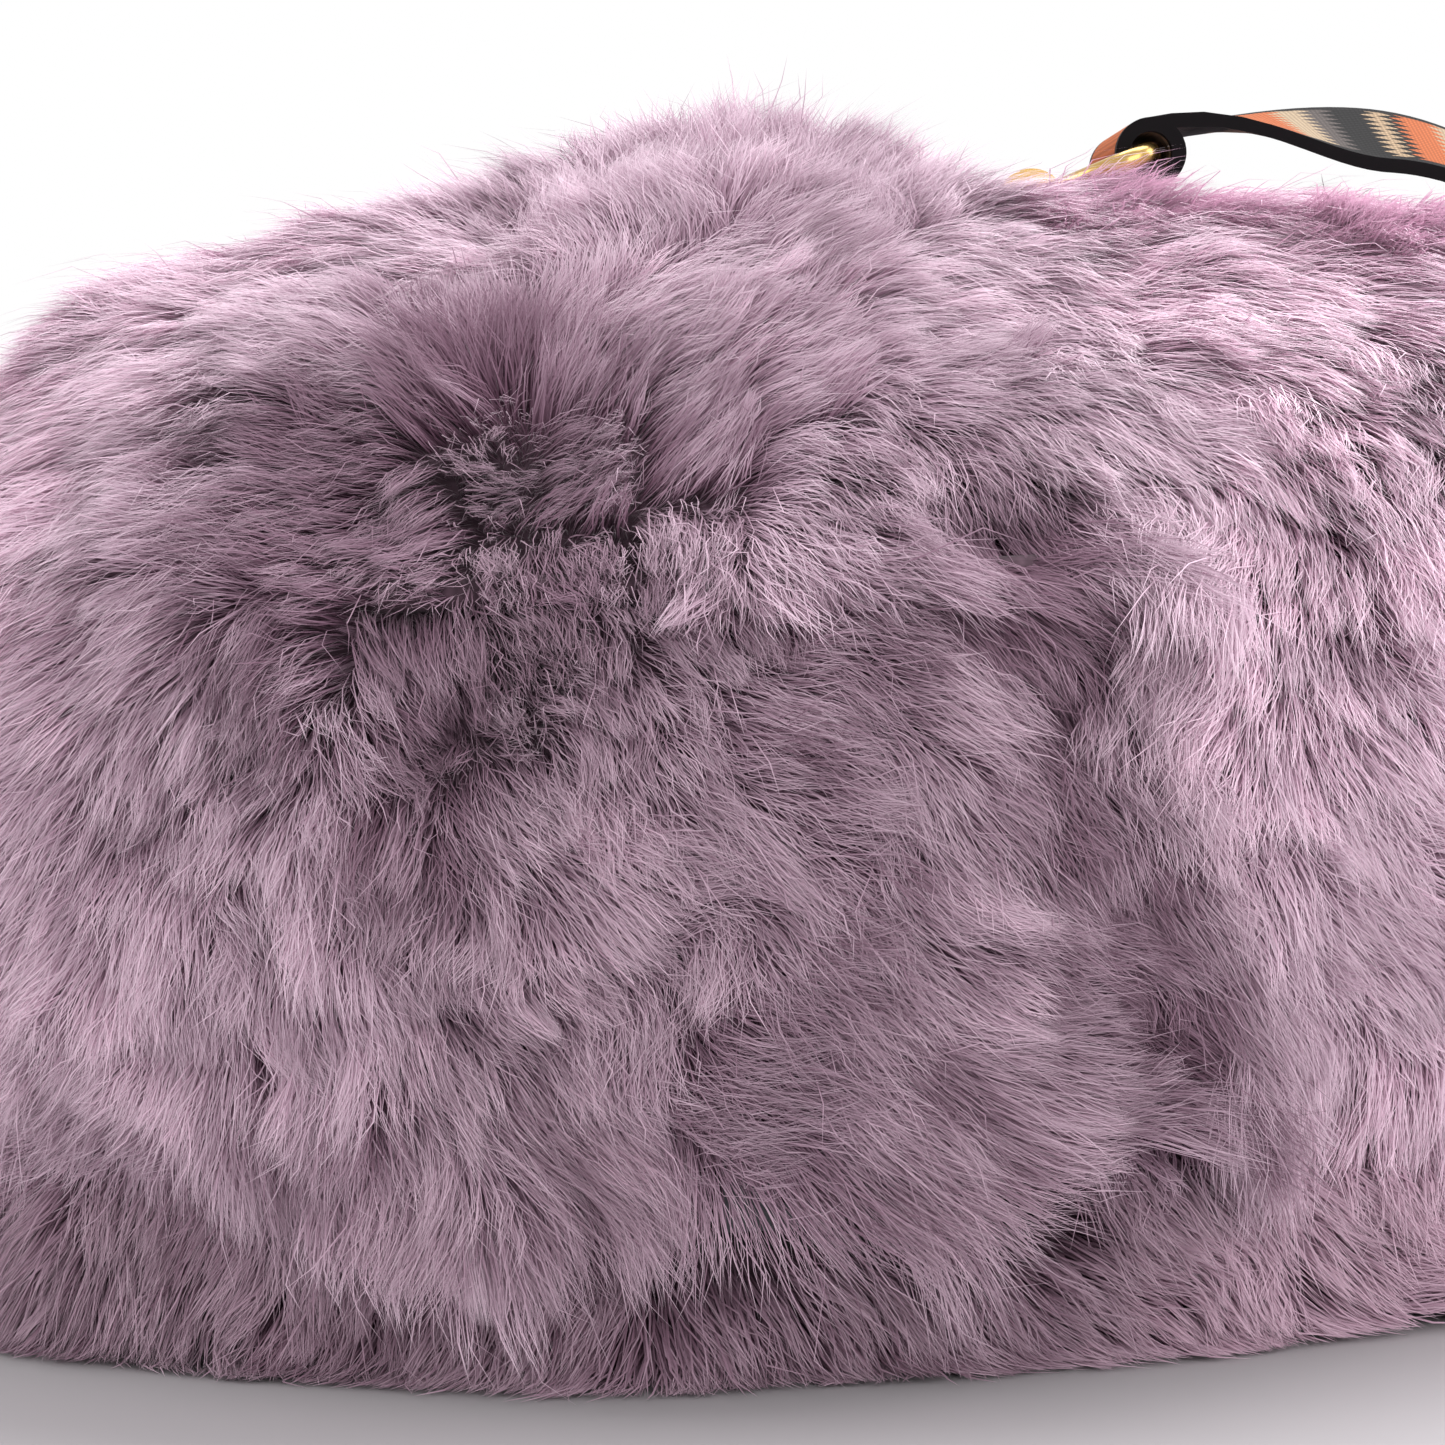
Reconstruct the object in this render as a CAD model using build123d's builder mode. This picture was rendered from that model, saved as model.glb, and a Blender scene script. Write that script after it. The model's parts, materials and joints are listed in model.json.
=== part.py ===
"""Oval furry windscreen for a stereo pair of microphones: hinged fur hood over a basket, on a low tray.

Millimetres. +Z up, +X along the long side, -Y to the front. The origin is the middle of the foot plane.
"""
from build123d import *
import os
from math import atan2, cos, degrees, radians, sin, sqrt

os.makedirs("parts", exist_ok=True)

# ---------------------------------------------------------------- driving dimensions
fur_length = 266.0          # outside of the fur, end to end
fur_depth = 204.0           # outside of the fur, front to back
fur_top = 146.0             # top of the fur above the table
fur_mid = 60.0              # height at which the hood is widest
pile = 16.0                 # fur, backing included
seam_z = 26.0               # parting plane between tray and hood
seam_gap = 0.4
soft_gap = 0.3              # between soft layers that lie on each other
seat_gap = 0.1              # between rigid pieces that seat on each other
mesh_t = 0.8
frame_t = 3.0
rim_h = 5.0
hoop_w = 2.6                # width of the basket's ribs
hoop_pitch = 26.0
hoop_count = 7
stringer_count = 5
stringer_step = 34.0        # degrees between the long ribs, seen from an end
hub_reach = 7.0             # plate at each end, where the long ribs meet
hub_w = 44.0
hub_h = 34.0
panel_seam_x = 72.0         # where the end caps of fur meet the middle panel

tray_wall = 3.0
tray_floor_z = 4.0
tray_floor_t = 3.0
band_inset = 2.0            # fur band stands back from the hood's fur
band_foot_z = 0.5
vent_count = 18
plate_round = 2.0
rim_names = ("right_rear", "rear", "left_rear", "left_front", "front", "right_front")
vent_w = 17.0
vent_h = 9.0

foot_r = 8.0
foot_x = 62.0
foot_y = 38.0
foot_sink = 1.0             # foot let into the tray floor
bush_bore_r = 3.97          # 5/16" tapping bore for 3/8"-16
bush_r = 7.0
bush_flange_r = 10.0
bush_flange_t = 2.0
bush_z = 2.0
bush_len = 12.0
boss_wall = 3.5
port_edge = 16.4            # cable grommet's middle, in from the tray's end
port_bore_r = 3.25
port_r = 6.5
port_lip = 1.6

hinge_x = 38.0
hinge_out = 10.0            # hinge axis behind the tray's rear wall
knuckle_r = 4.0
knuckle_len = 5.0
knuckle_gap = 0.2
hinge_pin_r = 1.5
pin_fit = 0.04
leaf_t = 4.4
hinge_notch_up = 14.0       # fur cut away above and below the hinge
hinge_notch_down = 12.0
notch_margin = 4.0

latch_travel = 6.0
latch_plate_t = 3.0
latch_plate_h = 7.6
latch_grip_w = 6.0
latch_grip_t = 1.8
latch_head_r = 2.8
latch_head_t = 1.2
latch_half = 15.0
latch_pin_x = 9.0
latch_pin_r = 1.5
latch_slot_play = 0.2
latch_drop = 9.5            # how far the tongue hangs below the seam
tongue_w = 6.0
foot_len = 6.0
foot_h = 3.0
latch_play = 0.5
keeper_wall = 2.0
guide_t = 3.0

flap_mid_x = -6.0
flap_w = 92.0
flap_low_z = 28.0
flap_axis_z = 88.0
flap_t = 6.5
flap_gap = 0.6
flap_side_gap = 0.4
welt_r = 2.2                # round welt sewn along the flap's top edge, on its axis
patch_w = 34.0
patch_low_z = 44.0
patch_high_z = 60.0
patch_t = 1.2

strap_y = 12.0
strap_w = 30.0
strap_t = 1.8
ring_wire_r = 1.5
ring_half_w = 17.0
ring_depth = 15.0
ring_corner_r = 3.5
strap_loop_r = 2.7          # inside of the strap's end loop
eye_hole_r = 2.2
eye_r = 4.6
eye_t = 3.0
anchor_disc_r = 7.0
anchor_disc_t = 2.0
top_eye_x = 33.0            # ring's eye near the top
top_eye_sink = 9.7          # below the fur's own surface
top_ring_slope = 20.0
side_angle = 10.0           # where the right-hand anchor stands, in degrees above level
side_reach = 14.0
side_ring_slope = 100.0
strap_crown_x = 82.0        # the strap's highest point, and how far it lies under the fur's top
strap_crown_drop = 2.0
strap_shoulder_in = 22.0    # where it turns down, from the fur's end and top
strap_shoulder_drop = 20.0
strap_room = 1.5

rail_len = 150.0
rail_z = 16.0
rail_h = 7.0
rail_top_w = 14.0
rail_foot_w = 9.0
post_x = 55.0
post_r = 6.0
rail_screw_r = 2.0
rail_screw_head_r = 3.7
carriage_x = 45.0
carriage_l = 22.0
carriage_w = 26.0
carriage_over = 8.0         # carriage above the rail
slide_play = 0.2
screw_r = 2.0
knob_r = 5.5
knob_l = 7.0
knob_flutes = 12
lyre_t = 2.4
lyre_l = 9.0
lyre_half = 25.0
lyre_low = 14.0             # heights above the carriage
lyre_high = 30.0
hub_rise = 22.0
hub_r = 5.0
hub_t = 3.0
swivel_r = 2.0
clip_bore_r = 9.9
clip_wall = 2.2
clip_l = 10.0
clip_gap_deg = 84.0
clip_stem_h = 4.5
clip_stem_r = 3.2
ortf_half_angle = 55.0

# ---------------------------------------------------------------- the oval family of surfaces
half_length = fur_length / 2
half_depth = fur_depth / 2
half_height = fur_top - fur_mid
mesh_in = pile + soft_gap
frame_in = mesh_in + mesh_t + soft_gap
room_in = frame_in + frame_t
hood_foot_z = seam_z + seam_gap


def oval_at(inset, z):
    """Half axes, in plan, of the surface that lies inset inside the fur, at height z."""
    shrink = sqrt(1 - ((z - fur_mid) / (half_height - inset)) ** 2)
    return (half_length - inset) * shrink, (half_depth - inset) * shrink


def surface_z(inset, x, y):
    """Height of that surface's upper side over a point in plan."""
    share = 1 - (x / (half_length - inset)) ** 2 - (y / (half_depth - inset)) ** 2
    return fur_mid + (half_height - inset) * sqrt(share)


def egg(inset, poles=(0, 90, 0)):
    """The closed oval body that lies inset inside the fur."""
    height = half_height - inset
    with BuildPart() as body:
        Sphere(height, rotation=poles)
        scale(by=((half_length - inset) / height, (half_depth - inset) / height, 1))
    return body.part.moved(Location((0, 0, fur_mid)))


def dome(outer, inner, poles=(0, 90, 0)):
    """The shell between two of those surfaces, open at the foot."""
    with BuildPart() as shell:
        add(egg(outer, poles))
        add(egg(inner, poles), mode=Mode.SUBTRACT)
        with Locations((0, 0, hood_foot_z)):
            Box(fur_length, fur_depth, fur_top, align=(Align.CENTER, Align.CENTER, Align.MAX),
                mode=Mode.SUBTRACT)
    return shell.part


def keep(piece, label):
    """Label a finished piece and write it out."""
    piece.part.label = label
    export_step(piece.part, f"parts/{label}.step")


tray_a, tray_b = oval_at(frame_in, seam_z)
port_x = tray_a - port_edge
band_a, band_b = (axis - band_inset for axis in oval_at(0, seam_z))
hinge_y = tray_b + hinge_out
hinge_z = seam_z + seam_gap / 2
fur_seam_a, fur_seam_b = oval_at(0, seam_z)
hinge_notch_half = fur_seam_a * sqrt(1 - (hinge_y / fur_seam_b) ** 2) + notch_margin

# ---------------------------------------------------------------- latch and flap places
latch_z = hood_foot_z + 1 + latch_plate_h / 2
latch_back_y = -oval_at(frame_in, latch_z + latch_plate_h / 2)[1] - 0.8
latch_front_y = latch_back_y - latch_plate_t
pocket_half = latch_half + latch_travel + 1
pocket_top_z = latch_z + latch_plate_h / 2 + 2
pocket_low_z = seam_z - latch_drop - 2.5
flap_axis_y = -oval_at(0, flap_axis_z)[1]
flap_lean = degrees(atan2((flap_axis_z - fur_mid) / half_height ** 2, -flap_axis_y / half_depth ** 2))


def flap_zone(grow):
    """The room of the flap: below its leaning top edge, above its hem, between its sides."""
    hem = flap_low_z - grow
    with BuildPart() as zone:
        with Locations(Location((flap_mid_x, flap_axis_y, flap_axis_z + grow), (-flap_lean, 0, 0))):
            Box(flap_w + 2 * grow, half_depth, 2 * flap_axis_z,
                align=(Align.CENTER, Align.CENTER, Align.MAX))
        with Locations((flap_mid_x, flap_axis_y, hem)):
            Box(2 * flap_w, 2 * fur_depth, 3 * flap_axis_z, align=(Align.CENTER, Align.CENTER, Align.MAX),
                mode=Mode.SUBTRACT)
    return zone.part


def patch_zone(grow):
    """The room of the hook-and-loop patch behind the flap."""
    with BuildPart() as zone:
        with Locations((0, -half_depth / 2, (patch_low_z + patch_high_z) / 2)):
            Box(patch_w + 2 * grow, half_depth, patch_high_z - patch_low_z + 2 * grow)
    return zone.part


# ---------------------------------------------------------------- strap places
top_eye_z = surface_z(0, top_eye_x, strap_y) - top_eye_sink
top_eye = (top_eye_x, top_eye_z)
top_bar = (top_eye_x + ring_depth * cos(radians(top_ring_slope)),
           top_eye_z + ring_depth * sin(radians(top_ring_slope)))
side_root_x = (half_length - frame_in) * cos(radians(side_angle))
side_root_z = fur_mid + (half_height - frame_in) * sin(radians(side_angle))
side_out = atan2(side_root_z - fur_mid, side_root_x * ((half_height - frame_in) / (half_length - frame_in)) ** 2)
side_eye_x = side_root_x + side_reach * cos(side_out)
side_eye_z = side_root_z + side_reach * sin(side_out)
side_bar = (side_eye_x + ring_depth * cos(radians(side_ring_slope)),
            side_eye_z + ring_depth * sin(radians(side_ring_slope)))
strap_plane = Plane(origin=(0, strap_y, 0), x_dir=(1, 0, 0), z_dir=(0, -1, 0))
loop_mid_r = strap_loop_r + strap_t / 2


def strap_route():
    """The strap's middle line, from over the top ring's bar to over the side ring's bar."""
    start = (top_bar[0], top_bar[1] + loop_mid_r)
    lean = radians(side_ring_slope - 90)
    end = (side_bar[0] + loop_mid_r * cos(lean), side_bar[1] + loop_mid_r * sin(lean))
    crown = (strap_crown_x, fur_top - strap_crown_drop)
    shoulder = (half_length - strap_shoulder_in, fur_top - strap_shoulder_drop)
    return Spline(start, crown, shoulder, end,
                  tangents=((1, 0.12), (sin(lean), -cos(lean))), tangent_scalars=(0.8, 1.0))


# ---------------------------------------------------------------- base: tray, bush, feet, grommet
with BuildPart() as base_plate:
    with BuildSketch(Plane.XY.offset(tray_floor_z)):
        Ellipse(tray_a, tray_b)
    extrude(amount=tray_floor_t)
    fillet(base_plate.edges().sort_by(Axis.Z)[0], plate_round)
    with Locations((0, 0, tray_floor_z)):
        Cylinder(bush_r + seat_gap, 2 * bush_len, mode=Mode.SUBTRACT)
    with Locations((port_x, 0, tray_floor_z)):
        Cylinder(port_r - port_lip + seat_gap, 4 * tray_floor_t, mode=Mode.SUBTRACT)
    with Locations(*[(sx * foot_x, sy * foot_y, tray_floor_z) for sx in (-1, 1) for sy in (-1, 1)]):
        Cylinder(foot_r + seat_gap, foot_sink, align=(Align.CENTER, Align.CENTER, Align.MIN),
                 mode=Mode.SUBTRACT)
keep(base_plate, "base_plate")

with BuildPart() as bush_boss:
    with BuildSketch(Plane.XY.offset(tray_floor_z + tray_floor_t)):
        Circle(bush_r + boss_wall)
        Circle(bush_r + seat_gap, mode=Mode.SUBTRACT)
    extrude(amount=bush_z + bush_len - tray_floor_z - tray_floor_t)
keep(bush_boss, "bush_boss")

with BuildPart() as rail_posts:
    with BuildSketch(Plane.XY.offset(tray_floor_z + tray_floor_t)):
        with Locations((-post_x, 0), (post_x, 0)):
            Circle(post_r)
            Circle(rail_screw_r - 0.3, mode=Mode.SUBTRACT)
    extrude(amount=rail_z - tray_floor_z - tray_floor_t)
keep(rail_posts, "rail_posts")

with BuildPart() as tray_rim:
    with BuildSketch(Plane.XY.offset(tray_floor_z + tray_floor_t)):
        Ellipse(tray_a, tray_b)
        Ellipse(tray_a - tray_wall, tray_b - tray_wall, mode=Mode.SUBTRACT)
    extrude(amount=seam_z - tray_floor_z - tray_floor_t)
    for index in range(vent_count):
        turn = 360 / vent_count * (index + 0.5)
        spot = (tray_a * cos(radians(turn)), tray_b * sin(radians(turn)))
        facing = degrees(atan2(spot[1] / tray_b ** 2, spot[0] / tray_a ** 2))
        with Locations(Location((*spot, (tray_floor_z + tray_floor_t + seam_z) / 2), (0, 0, facing))):
            Box(4 * tray_wall, vent_w, vent_h, mode=Mode.SUBTRACT)

for index, name in enumerate(rim_names):
    corners = [(2 * tray_a * cos(radians(turn)), 2 * tray_b * sin(radians(turn)))
               for turn in (360 / len(rim_names) * (index + share) for share in (0, 0.5, 1))]
    with BuildPart() as rim_section:
        with BuildSketch():
            with BuildLine():
                Polyline((0, 0), *corners, close=True)
            make_face()
        extrude(amount=2 * seam_z)
        add(tray_rim.part, mode=Mode.INTERSECT)
    keep(rim_section, f"rim_{name}")

with BuildPart() as stand_bush:
    with Locations((0, 0, bush_z)):
        Cylinder(bush_flange_r, tray_floor_z - bush_z, align=(Align.CENTER, Align.CENTER, Align.MIN))
        Cylinder(bush_r, bush_len, align=(Align.CENTER, Align.CENTER, Align.MIN))
    chamfer(stand_bush.edges().filter_by(GeomType.CIRCLE).group_by(Axis.Z)[0], 0.6)
    with Locations((0, 0, bush_z)):
        Cylinder(bush_bore_r, 3 * bush_len, mode=Mode.SUBTRACT)
keep(stand_bush, "stand_bush")

with BuildPart() as rubber_feet:
    with BuildSketch():
        with Locations(*[(sx * foot_x, sy * foot_y) for sx in (-1, 1) for sy in (-1, 1)]):
            Circle(foot_r)
    extrude(amount=tray_floor_z + foot_sink - seat_gap)
    chamfer(rubber_feet.edges().group_by(Axis.Z)[0], 1.0)
keep(rubber_feet, "rubber_feet")

with BuildPart() as cable_grommet:
    with Locations((port_x, 0, tray_floor_z - port_lip)):
        Cylinder(port_r, port_lip - seat_gap, align=(Align.CENTER, Align.CENTER, Align.MIN))
    with Locations((port_x, 0, tray_floor_z - port_lip)):
        Cylinder(port_r - port_lip, tray_floor_t + 2 * port_lip, align=(Align.CENTER, Align.CENTER, Align.MIN))
    with Locations((port_x, 0, tray_floor_z + tray_floor_t + seat_gap)):
        Cylinder(port_r, port_lip, align=(Align.CENTER, Align.CENTER, Align.MIN))
    with Locations((port_x, 0, tray_floor_z)):
        Cylinder(port_bore_r, 8 * tray_floor_t, mode=Mode.SUBTRACT)
keep(cable_grommet, "cable_grommet")

with BuildPart() as base_mesh:
    with BuildSketch(Plane.XY.offset(tray_floor_z + 3)):
        Ellipse(tray_a + soft_gap + mesh_t, tray_b + soft_gap + mesh_t)
        Ellipse(tray_a + soft_gap, tray_b + soft_gap, mode=Mode.SUBTRACT)
    extrude(amount=seam_z - tray_floor_z - 3)
    with Locations((0, -tray_b, (pocket_low_z + seam_z) / 2)):
        Box(2 * (latch_half + 1), 20, seam_z - pocket_low_z + 0.1, mode=Mode.SUBTRACT)
    with Locations((-hinge_x, tray_b, seam_z), (hinge_x, tray_b, seam_z)):
        Box(4 * knuckle_len + 2, 3 * hinge_out, 2 * (leaf_t + 1), mode=Mode.SUBTRACT)
keep(base_mesh, "base_mesh")

band_in = 2 * soft_gap + mesh_t
with BuildPart() as band_fur:
    with BuildSketch(Plane.XY.offset(band_foot_z)):
        Ellipse(band_a, band_b)
        Ellipse(tray_a + band_in, tray_b + band_in, mode=Mode.SUBTRACT)
    extrude(amount=seam_z - band_foot_z)
    with Locations((0, -tray_b, (pocket_low_z + seam_z) / 2)):
        Box(2 * pocket_half, 4 * pile, seam_z - pocket_low_z + 0.1, mode=Mode.SUBTRACT)
    with Locations((0, tray_b, seam_z)):
        Box(2 * hinge_notch_half, 4 * pile, 2 * hinge_notch_down, mode=Mode.SUBTRACT)

band_panels = {
    "front_mid": (-pocket_half, pocket_half, -1), "front_left": (-panel_seam_x, -pocket_half, -1),
    "front_right": (pocket_half, panel_seam_x, -1), "end_left_front": (-fur_length, -panel_seam_x, -1),
    "end_right_front": (panel_seam_x, fur_length, -1), "end_left_rear": (-fur_length, -hinge_notch_half, 1),
    "end_right_rear": (hinge_notch_half, fur_length, 1), "rear_mid": (-hinge_notch_half, hinge_notch_half, 1)}
for name, (low_x, high_x, side) in band_panels.items():
    with BuildPart() as band_panel:
        with Locations(((low_x + high_x) / 2, side * fur_depth / 2, 0)):
            Box(high_x - low_x, fur_depth, 2 * fur_top)
        add(band_fur.part, mode=Mode.INTERSECT)
    keep(band_panel, f"band_{name}")

# ---------------------------------------------------------------- hinge
knuckle_mid = knuckle_len - knuckle_gap


def hinge_bar(x, length, radius):
    """A round bar on the hinge axis, centred on x."""
    with BuildPart() as bar:
        with Locations(Location((x, hinge_y, hinge_z), (0, 90, 0))):
            Cylinder(radius, length)
    return bar.part


with BuildPart() as base_hinge_brackets:
    for x in (-hinge_x, hinge_x):
        with Locations((x, hinge_y, seam_z - seat_gap)):
            Box(4 * knuckle_len, hinge_out + 18, leaf_t, align=(Align.CENTER, Align.MAX, Align.MAX))
        add(hinge_bar(x, 4 * knuckle_len, knuckle_r))
        with Locations((x, hinge_y, hinge_z)):
            Box(2 * knuckle_len, 2 * knuckle_r + 3, 20, mode=Mode.SUBTRACT)
        add(hinge_bar(x, 5 * knuckle_len, hinge_pin_r + pin_fit), mode=Mode.SUBTRACT)
    with BuildSketch(Plane.XY.offset(tray_floor_z)):
        Ellipse(tray_a + seat_gap, tray_b + seat_gap)
    extrude(amount=seam_z, mode=Mode.SUBTRACT)
keep(base_hinge_brackets, "base_hinge_brackets")

with BuildPart() as hinge_pins:
    for x in (-hinge_x, hinge_x):
        add(hinge_bar(x, 4 * knuckle_len + 2, hinge_pin_r))
        with Locations(Location((x - 2 * knuckle_len - 1, hinge_y, hinge_z), (0, 90, 0))):
            Cylinder(hinge_pin_r + 1, 1.5)
keep(hinge_pins, "hinge_pins")

with BuildPart() as hood_hinge_leaves:
    for x in (-hinge_x, hinge_x):
        with Locations((x, hinge_y - knuckle_r - 1.5, hood_foot_z + seat_gap)):
            Box(4 * knuckle_len, hinge_out + 14, leaf_t, align=(Align.CENTER, Align.MAX, Align.MIN))
        with Locations((x, hinge_y, hood_foot_z + seat_gap)):
            Box(2 * knuckle_mid, knuckle_r + 3, leaf_t - 0.8, align=(Align.CENTER, Align.MAX, Align.MIN))
        add(hinge_bar(x, 2 * knuckle_mid, knuckle_r))
        add(hinge_bar(x, 5 * knuckle_len, hinge_pin_r + pin_fit), mode=Mode.SUBTRACT)
    add(egg(frame_in - seat_gap), mode=Mode.SUBTRACT)
keep(hood_hinge_leaves, "hood_hinge_leaves")

# ---------------------------------------------------------------- hood: basket, mesh, fur
rim_top_z = hood_foot_z + rim_h
with BuildPart() as rim_zone:
    with Locations((0, 0, rim_top_z)):
        Box(fur_length, fur_depth, fur_top, align=(Align.CENTER, Align.CENTER, Align.MAX))

with BuildPart() as hub_zone:
    with Locations((half_length, 0, fur_mid), (-half_length, 0, fur_mid)):
        Box(2 * (frame_in + hub_reach), hub_w, hub_h)

with BuildPart() as hoop_zone:
    with Locations(*[((index - (hoop_count - 1) / 2) * hoop_pitch, 0, fur_mid) for index in range(hoop_count)]):
        Box(hoop_w, fur_depth, fur_top * 2)

with BuildPart() as stringer_zone:
    for index in range(stringer_count):
        lean = 90 + (index - (stringer_count - 1) / 2) * stringer_step
        with Locations(Location((0, 0, fur_mid), (lean, 0, 0))):
            Box(fur_length, fur_depth, hoop_w, align=(Align.CENTER, Align.MIN, Align.CENTER))

basket = dome(frame_in, room_in)


def basket_piece(zone, *others):
    """The basket's wall inside one zone, where no other zone has it."""
    with BuildPart() as piece:
        add(basket)
        add(zone.part, mode=Mode.INTERSECT)
        for other in others:
            add(other.part, mode=Mode.SUBTRACT)
    return piece


hood_rim = basket_piece(rim_zone)
keep(hood_rim, "hood_rim")
hood_hoops = basket_piece(hoop_zone, rim_zone)
keep(hood_hoops, "hood_hoops")
hood_hubs = basket_piece(hub_zone, rim_zone)
keep(hood_hubs, "hood_hubs")
hood_stringers = basket_piece(stringer_zone, rim_zone, hoop_zone, hub_zone)
keep(hood_stringers, "hood_stringers")

with BuildPart() as anchor_holes:
    with Locations((top_eye_x, strap_y, surface_z(frame_in, top_eye_x, strap_y))):
        Cylinder(anchor_disc_r + 1, 4 * pile)
    with Locations(Location((side_root_x, strap_y, side_root_z), (0, 90 - degrees(side_out), 0))):
        Cylinder(anchor_disc_r + 1, 4 * pile)

with BuildPart() as hood_mesh:
    add(dome(mesh_in, mesh_in + mesh_t, poles=(0, 0, 0)))
    with Locations((0, -tray_b, hood_foot_z)):
        Box(2 * latch_half + latch_travel + 2, tray_b, 2 * (pocket_top_z - hood_foot_z), mode=Mode.SUBTRACT)
    with Locations((-hinge_x, tray_b, hood_foot_z), (hinge_x, tray_b, hood_foot_z)):
        Box(4 * knuckle_len + 2, 4 * hinge_out, 2 * (leaf_t + 1), mode=Mode.SUBTRACT)
    add(anchor_holes.part, mode=Mode.SUBTRACT)
keep(hood_mesh, "hood_mesh")

with BuildPart() as ring_pockets:
    with BuildSketch(strap_plane):
        with BuildLine():
            Polyline((top_eye_x - 5, top_eye_z - 14), (top_eye_x - 5, 2 * fur_top), (top_bar[0] + 12, 2 * fur_top),
                     (top_bar[0] + 12, top_bar[1] - 3), (top_bar[0] + 5, top_bar[1] - 7),
                     (top_eye_x + 5, top_eye_z - 14), close=True)
        make_face()
        with BuildLine():
            Polyline((side_root_x, side_eye_z - 6), (side_eye_x + pile, side_eye_z - 6),
                     (side_eye_x + pile, side_bar[1] + 12), (side_bar[0] - 3, side_bar[1] + 12),
                     (side_bar[0] - 7, side_bar[1] - 2), (side_root_x, side_eye_z + 6), close=True)
        make_face()
    extrude(amount=ring_half_w + ring_wire_r + strap_room, both=True)


def flap_bar(radius, grow):
    """A round bar on the flap's axis."""
    with BuildPart() as bar:
        with Locations(Location((flap_mid_x, flap_axis_y, flap_axis_z), (0, 90, 0))):
            Cylinder(radius, flap_w + 2 * grow)
    return bar.part


with BuildPart() as flap_pocket:
    add(flap_zone(flap_side_gap))
    add(egg(flap_t + flap_gap), mode=Mode.SUBTRACT)
    add(flap_bar(welt_r + soft_gap, flap_side_gap))

with BuildPart() as patch_pocket:
    add(patch_zone(0.5))
    add(egg(flap_t + 2 * patch_t + 2 * soft_gap), mode=Mode.SUBTRACT)

with BuildPart() as hood_fur:
    add(dome(0, pile))
    add(flap_pocket.part, mode=Mode.SUBTRACT)
    add(patch_pocket.part, mode=Mode.SUBTRACT)
    with Locations((0, -tray_b, hood_foot_z)):
        Box(2 * pocket_half, 5 * pile, 2 * (pocket_top_z - hood_foot_z), mode=Mode.SUBTRACT)
    with Locations((0, tray_b, hood_foot_z)):
        Box(2 * hinge_notch_half, 5 * pile, 2 * hinge_notch_up, mode=Mode.SUBTRACT)
    add(ring_pockets.part, mode=Mode.SUBTRACT)
    add(anchor_holes.part, mode=Mode.SUBTRACT)


def fur_panel(low, high):
    """The stretch of the hood's fur between two corners of a box."""
    with BuildPart() as panel:
        with Locations(tuple((one + other) / 2 for one, other in zip(low, high))):
            Box(*(other - one for one, other in zip(low, high)))
        add(hood_fur.part, mode=Mode.INTERSECT)
    return panel


notch_top_z = hood_foot_z + hinge_notch_up
fur_panels = {
    "left_cap": ((-fur_length, -fur_depth, 0), (-panel_seam_x, fur_depth, fur_top)),
    "right_cap": ((panel_seam_x, -fur_depth, 0), (fur_length, fur_depth, fur_top)),
    "front_panel": ((-panel_seam_x, -fur_depth, 0), (panel_seam_x, 0, fur_top)),
    "rear_panel": ((-panel_seam_x, 0, notch_top_z), (panel_seam_x, fur_depth, fur_top)),
    "rear_gusset_left": ((-panel_seam_x, 0, 0), (-hinge_notch_half, fur_depth, notch_top_z)),
    "rear_gusset_right": ((hinge_notch_half, 0, 0), (panel_seam_x, fur_depth, notch_top_z))}
for name, (low, high) in fur_panels.items():
    keep(fur_panel(low, high), f"fur_{name}")

# ---------------------------------------------------------------- flap over the latch
with BuildPart() as fur_flap:
    add(egg(0))
    add(egg(flap_t), mode=Mode.SUBTRACT)
    add(flap_zone(0), mode=Mode.INTERSECT)
    add(flap_bar(welt_r, 1), mode=Mode.SUBTRACT)
keep(fur_flap, "fur_flap")

with BuildPart() as flap_welt:
    add(flap_bar(welt_r, 0))
    fillet(flap_welt.edges(), 0.8)
keep(flap_welt, "flap_welt")

with BuildPart() as flap_hook_patch:
    add(egg(flap_t))
    add(egg(flap_t + patch_t), mode=Mode.SUBTRACT)
    add(patch_zone(0), mode=Mode.INTERSECT)
keep(flap_hook_patch, "flap_hook_patch")

with BuildPart() as hood_loop_patch:
    add(egg(flap_t + patch_t + soft_gap))
    add(egg(flap_t + 2 * patch_t + soft_gap), mode=Mode.SUBTRACT)
    add(patch_zone(0), mode=Mode.INTERSECT)
keep(hood_loop_patch, "hood_loop_patch")

# ---------------------------------------------------------------- sliding latch
latch_pins_at = [(side * latch_pin_x, 0, latch_z) for side in (-1, 1)]
tongue_low_z = seam_z - latch_drop
lip_x = -latch_half + tongue_w + foot_len + 1

with BuildPart() as latch_guide:
    with Locations((0, latch_back_y - seat_gap, latch_z)):
        Box(2 * latch_half + latch_travel, 20, latch_plate_h, align=(Align.CENTER, Align.MIN, Align.CENTER))
    add(egg(frame_in - seat_gap), mode=Mode.SUBTRACT)
    for x, _, z in latch_pins_at:
        with Locations(Location((x, latch_back_y + 1, z), (90, 0, 0))):
            Cylinder(latch_pin_r, latch_plate_t + 2.5, align=(Align.CENTER, Align.CENTER, Align.MIN))
        with Locations(Location((x, latch_front_y - 0.3, z), (90, 0, 0))):
            Cylinder(latch_head_r, latch_head_t, align=(Align.CENTER, Align.CENTER, Align.MIN))
keep(latch_guide, "latch_guide")

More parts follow.
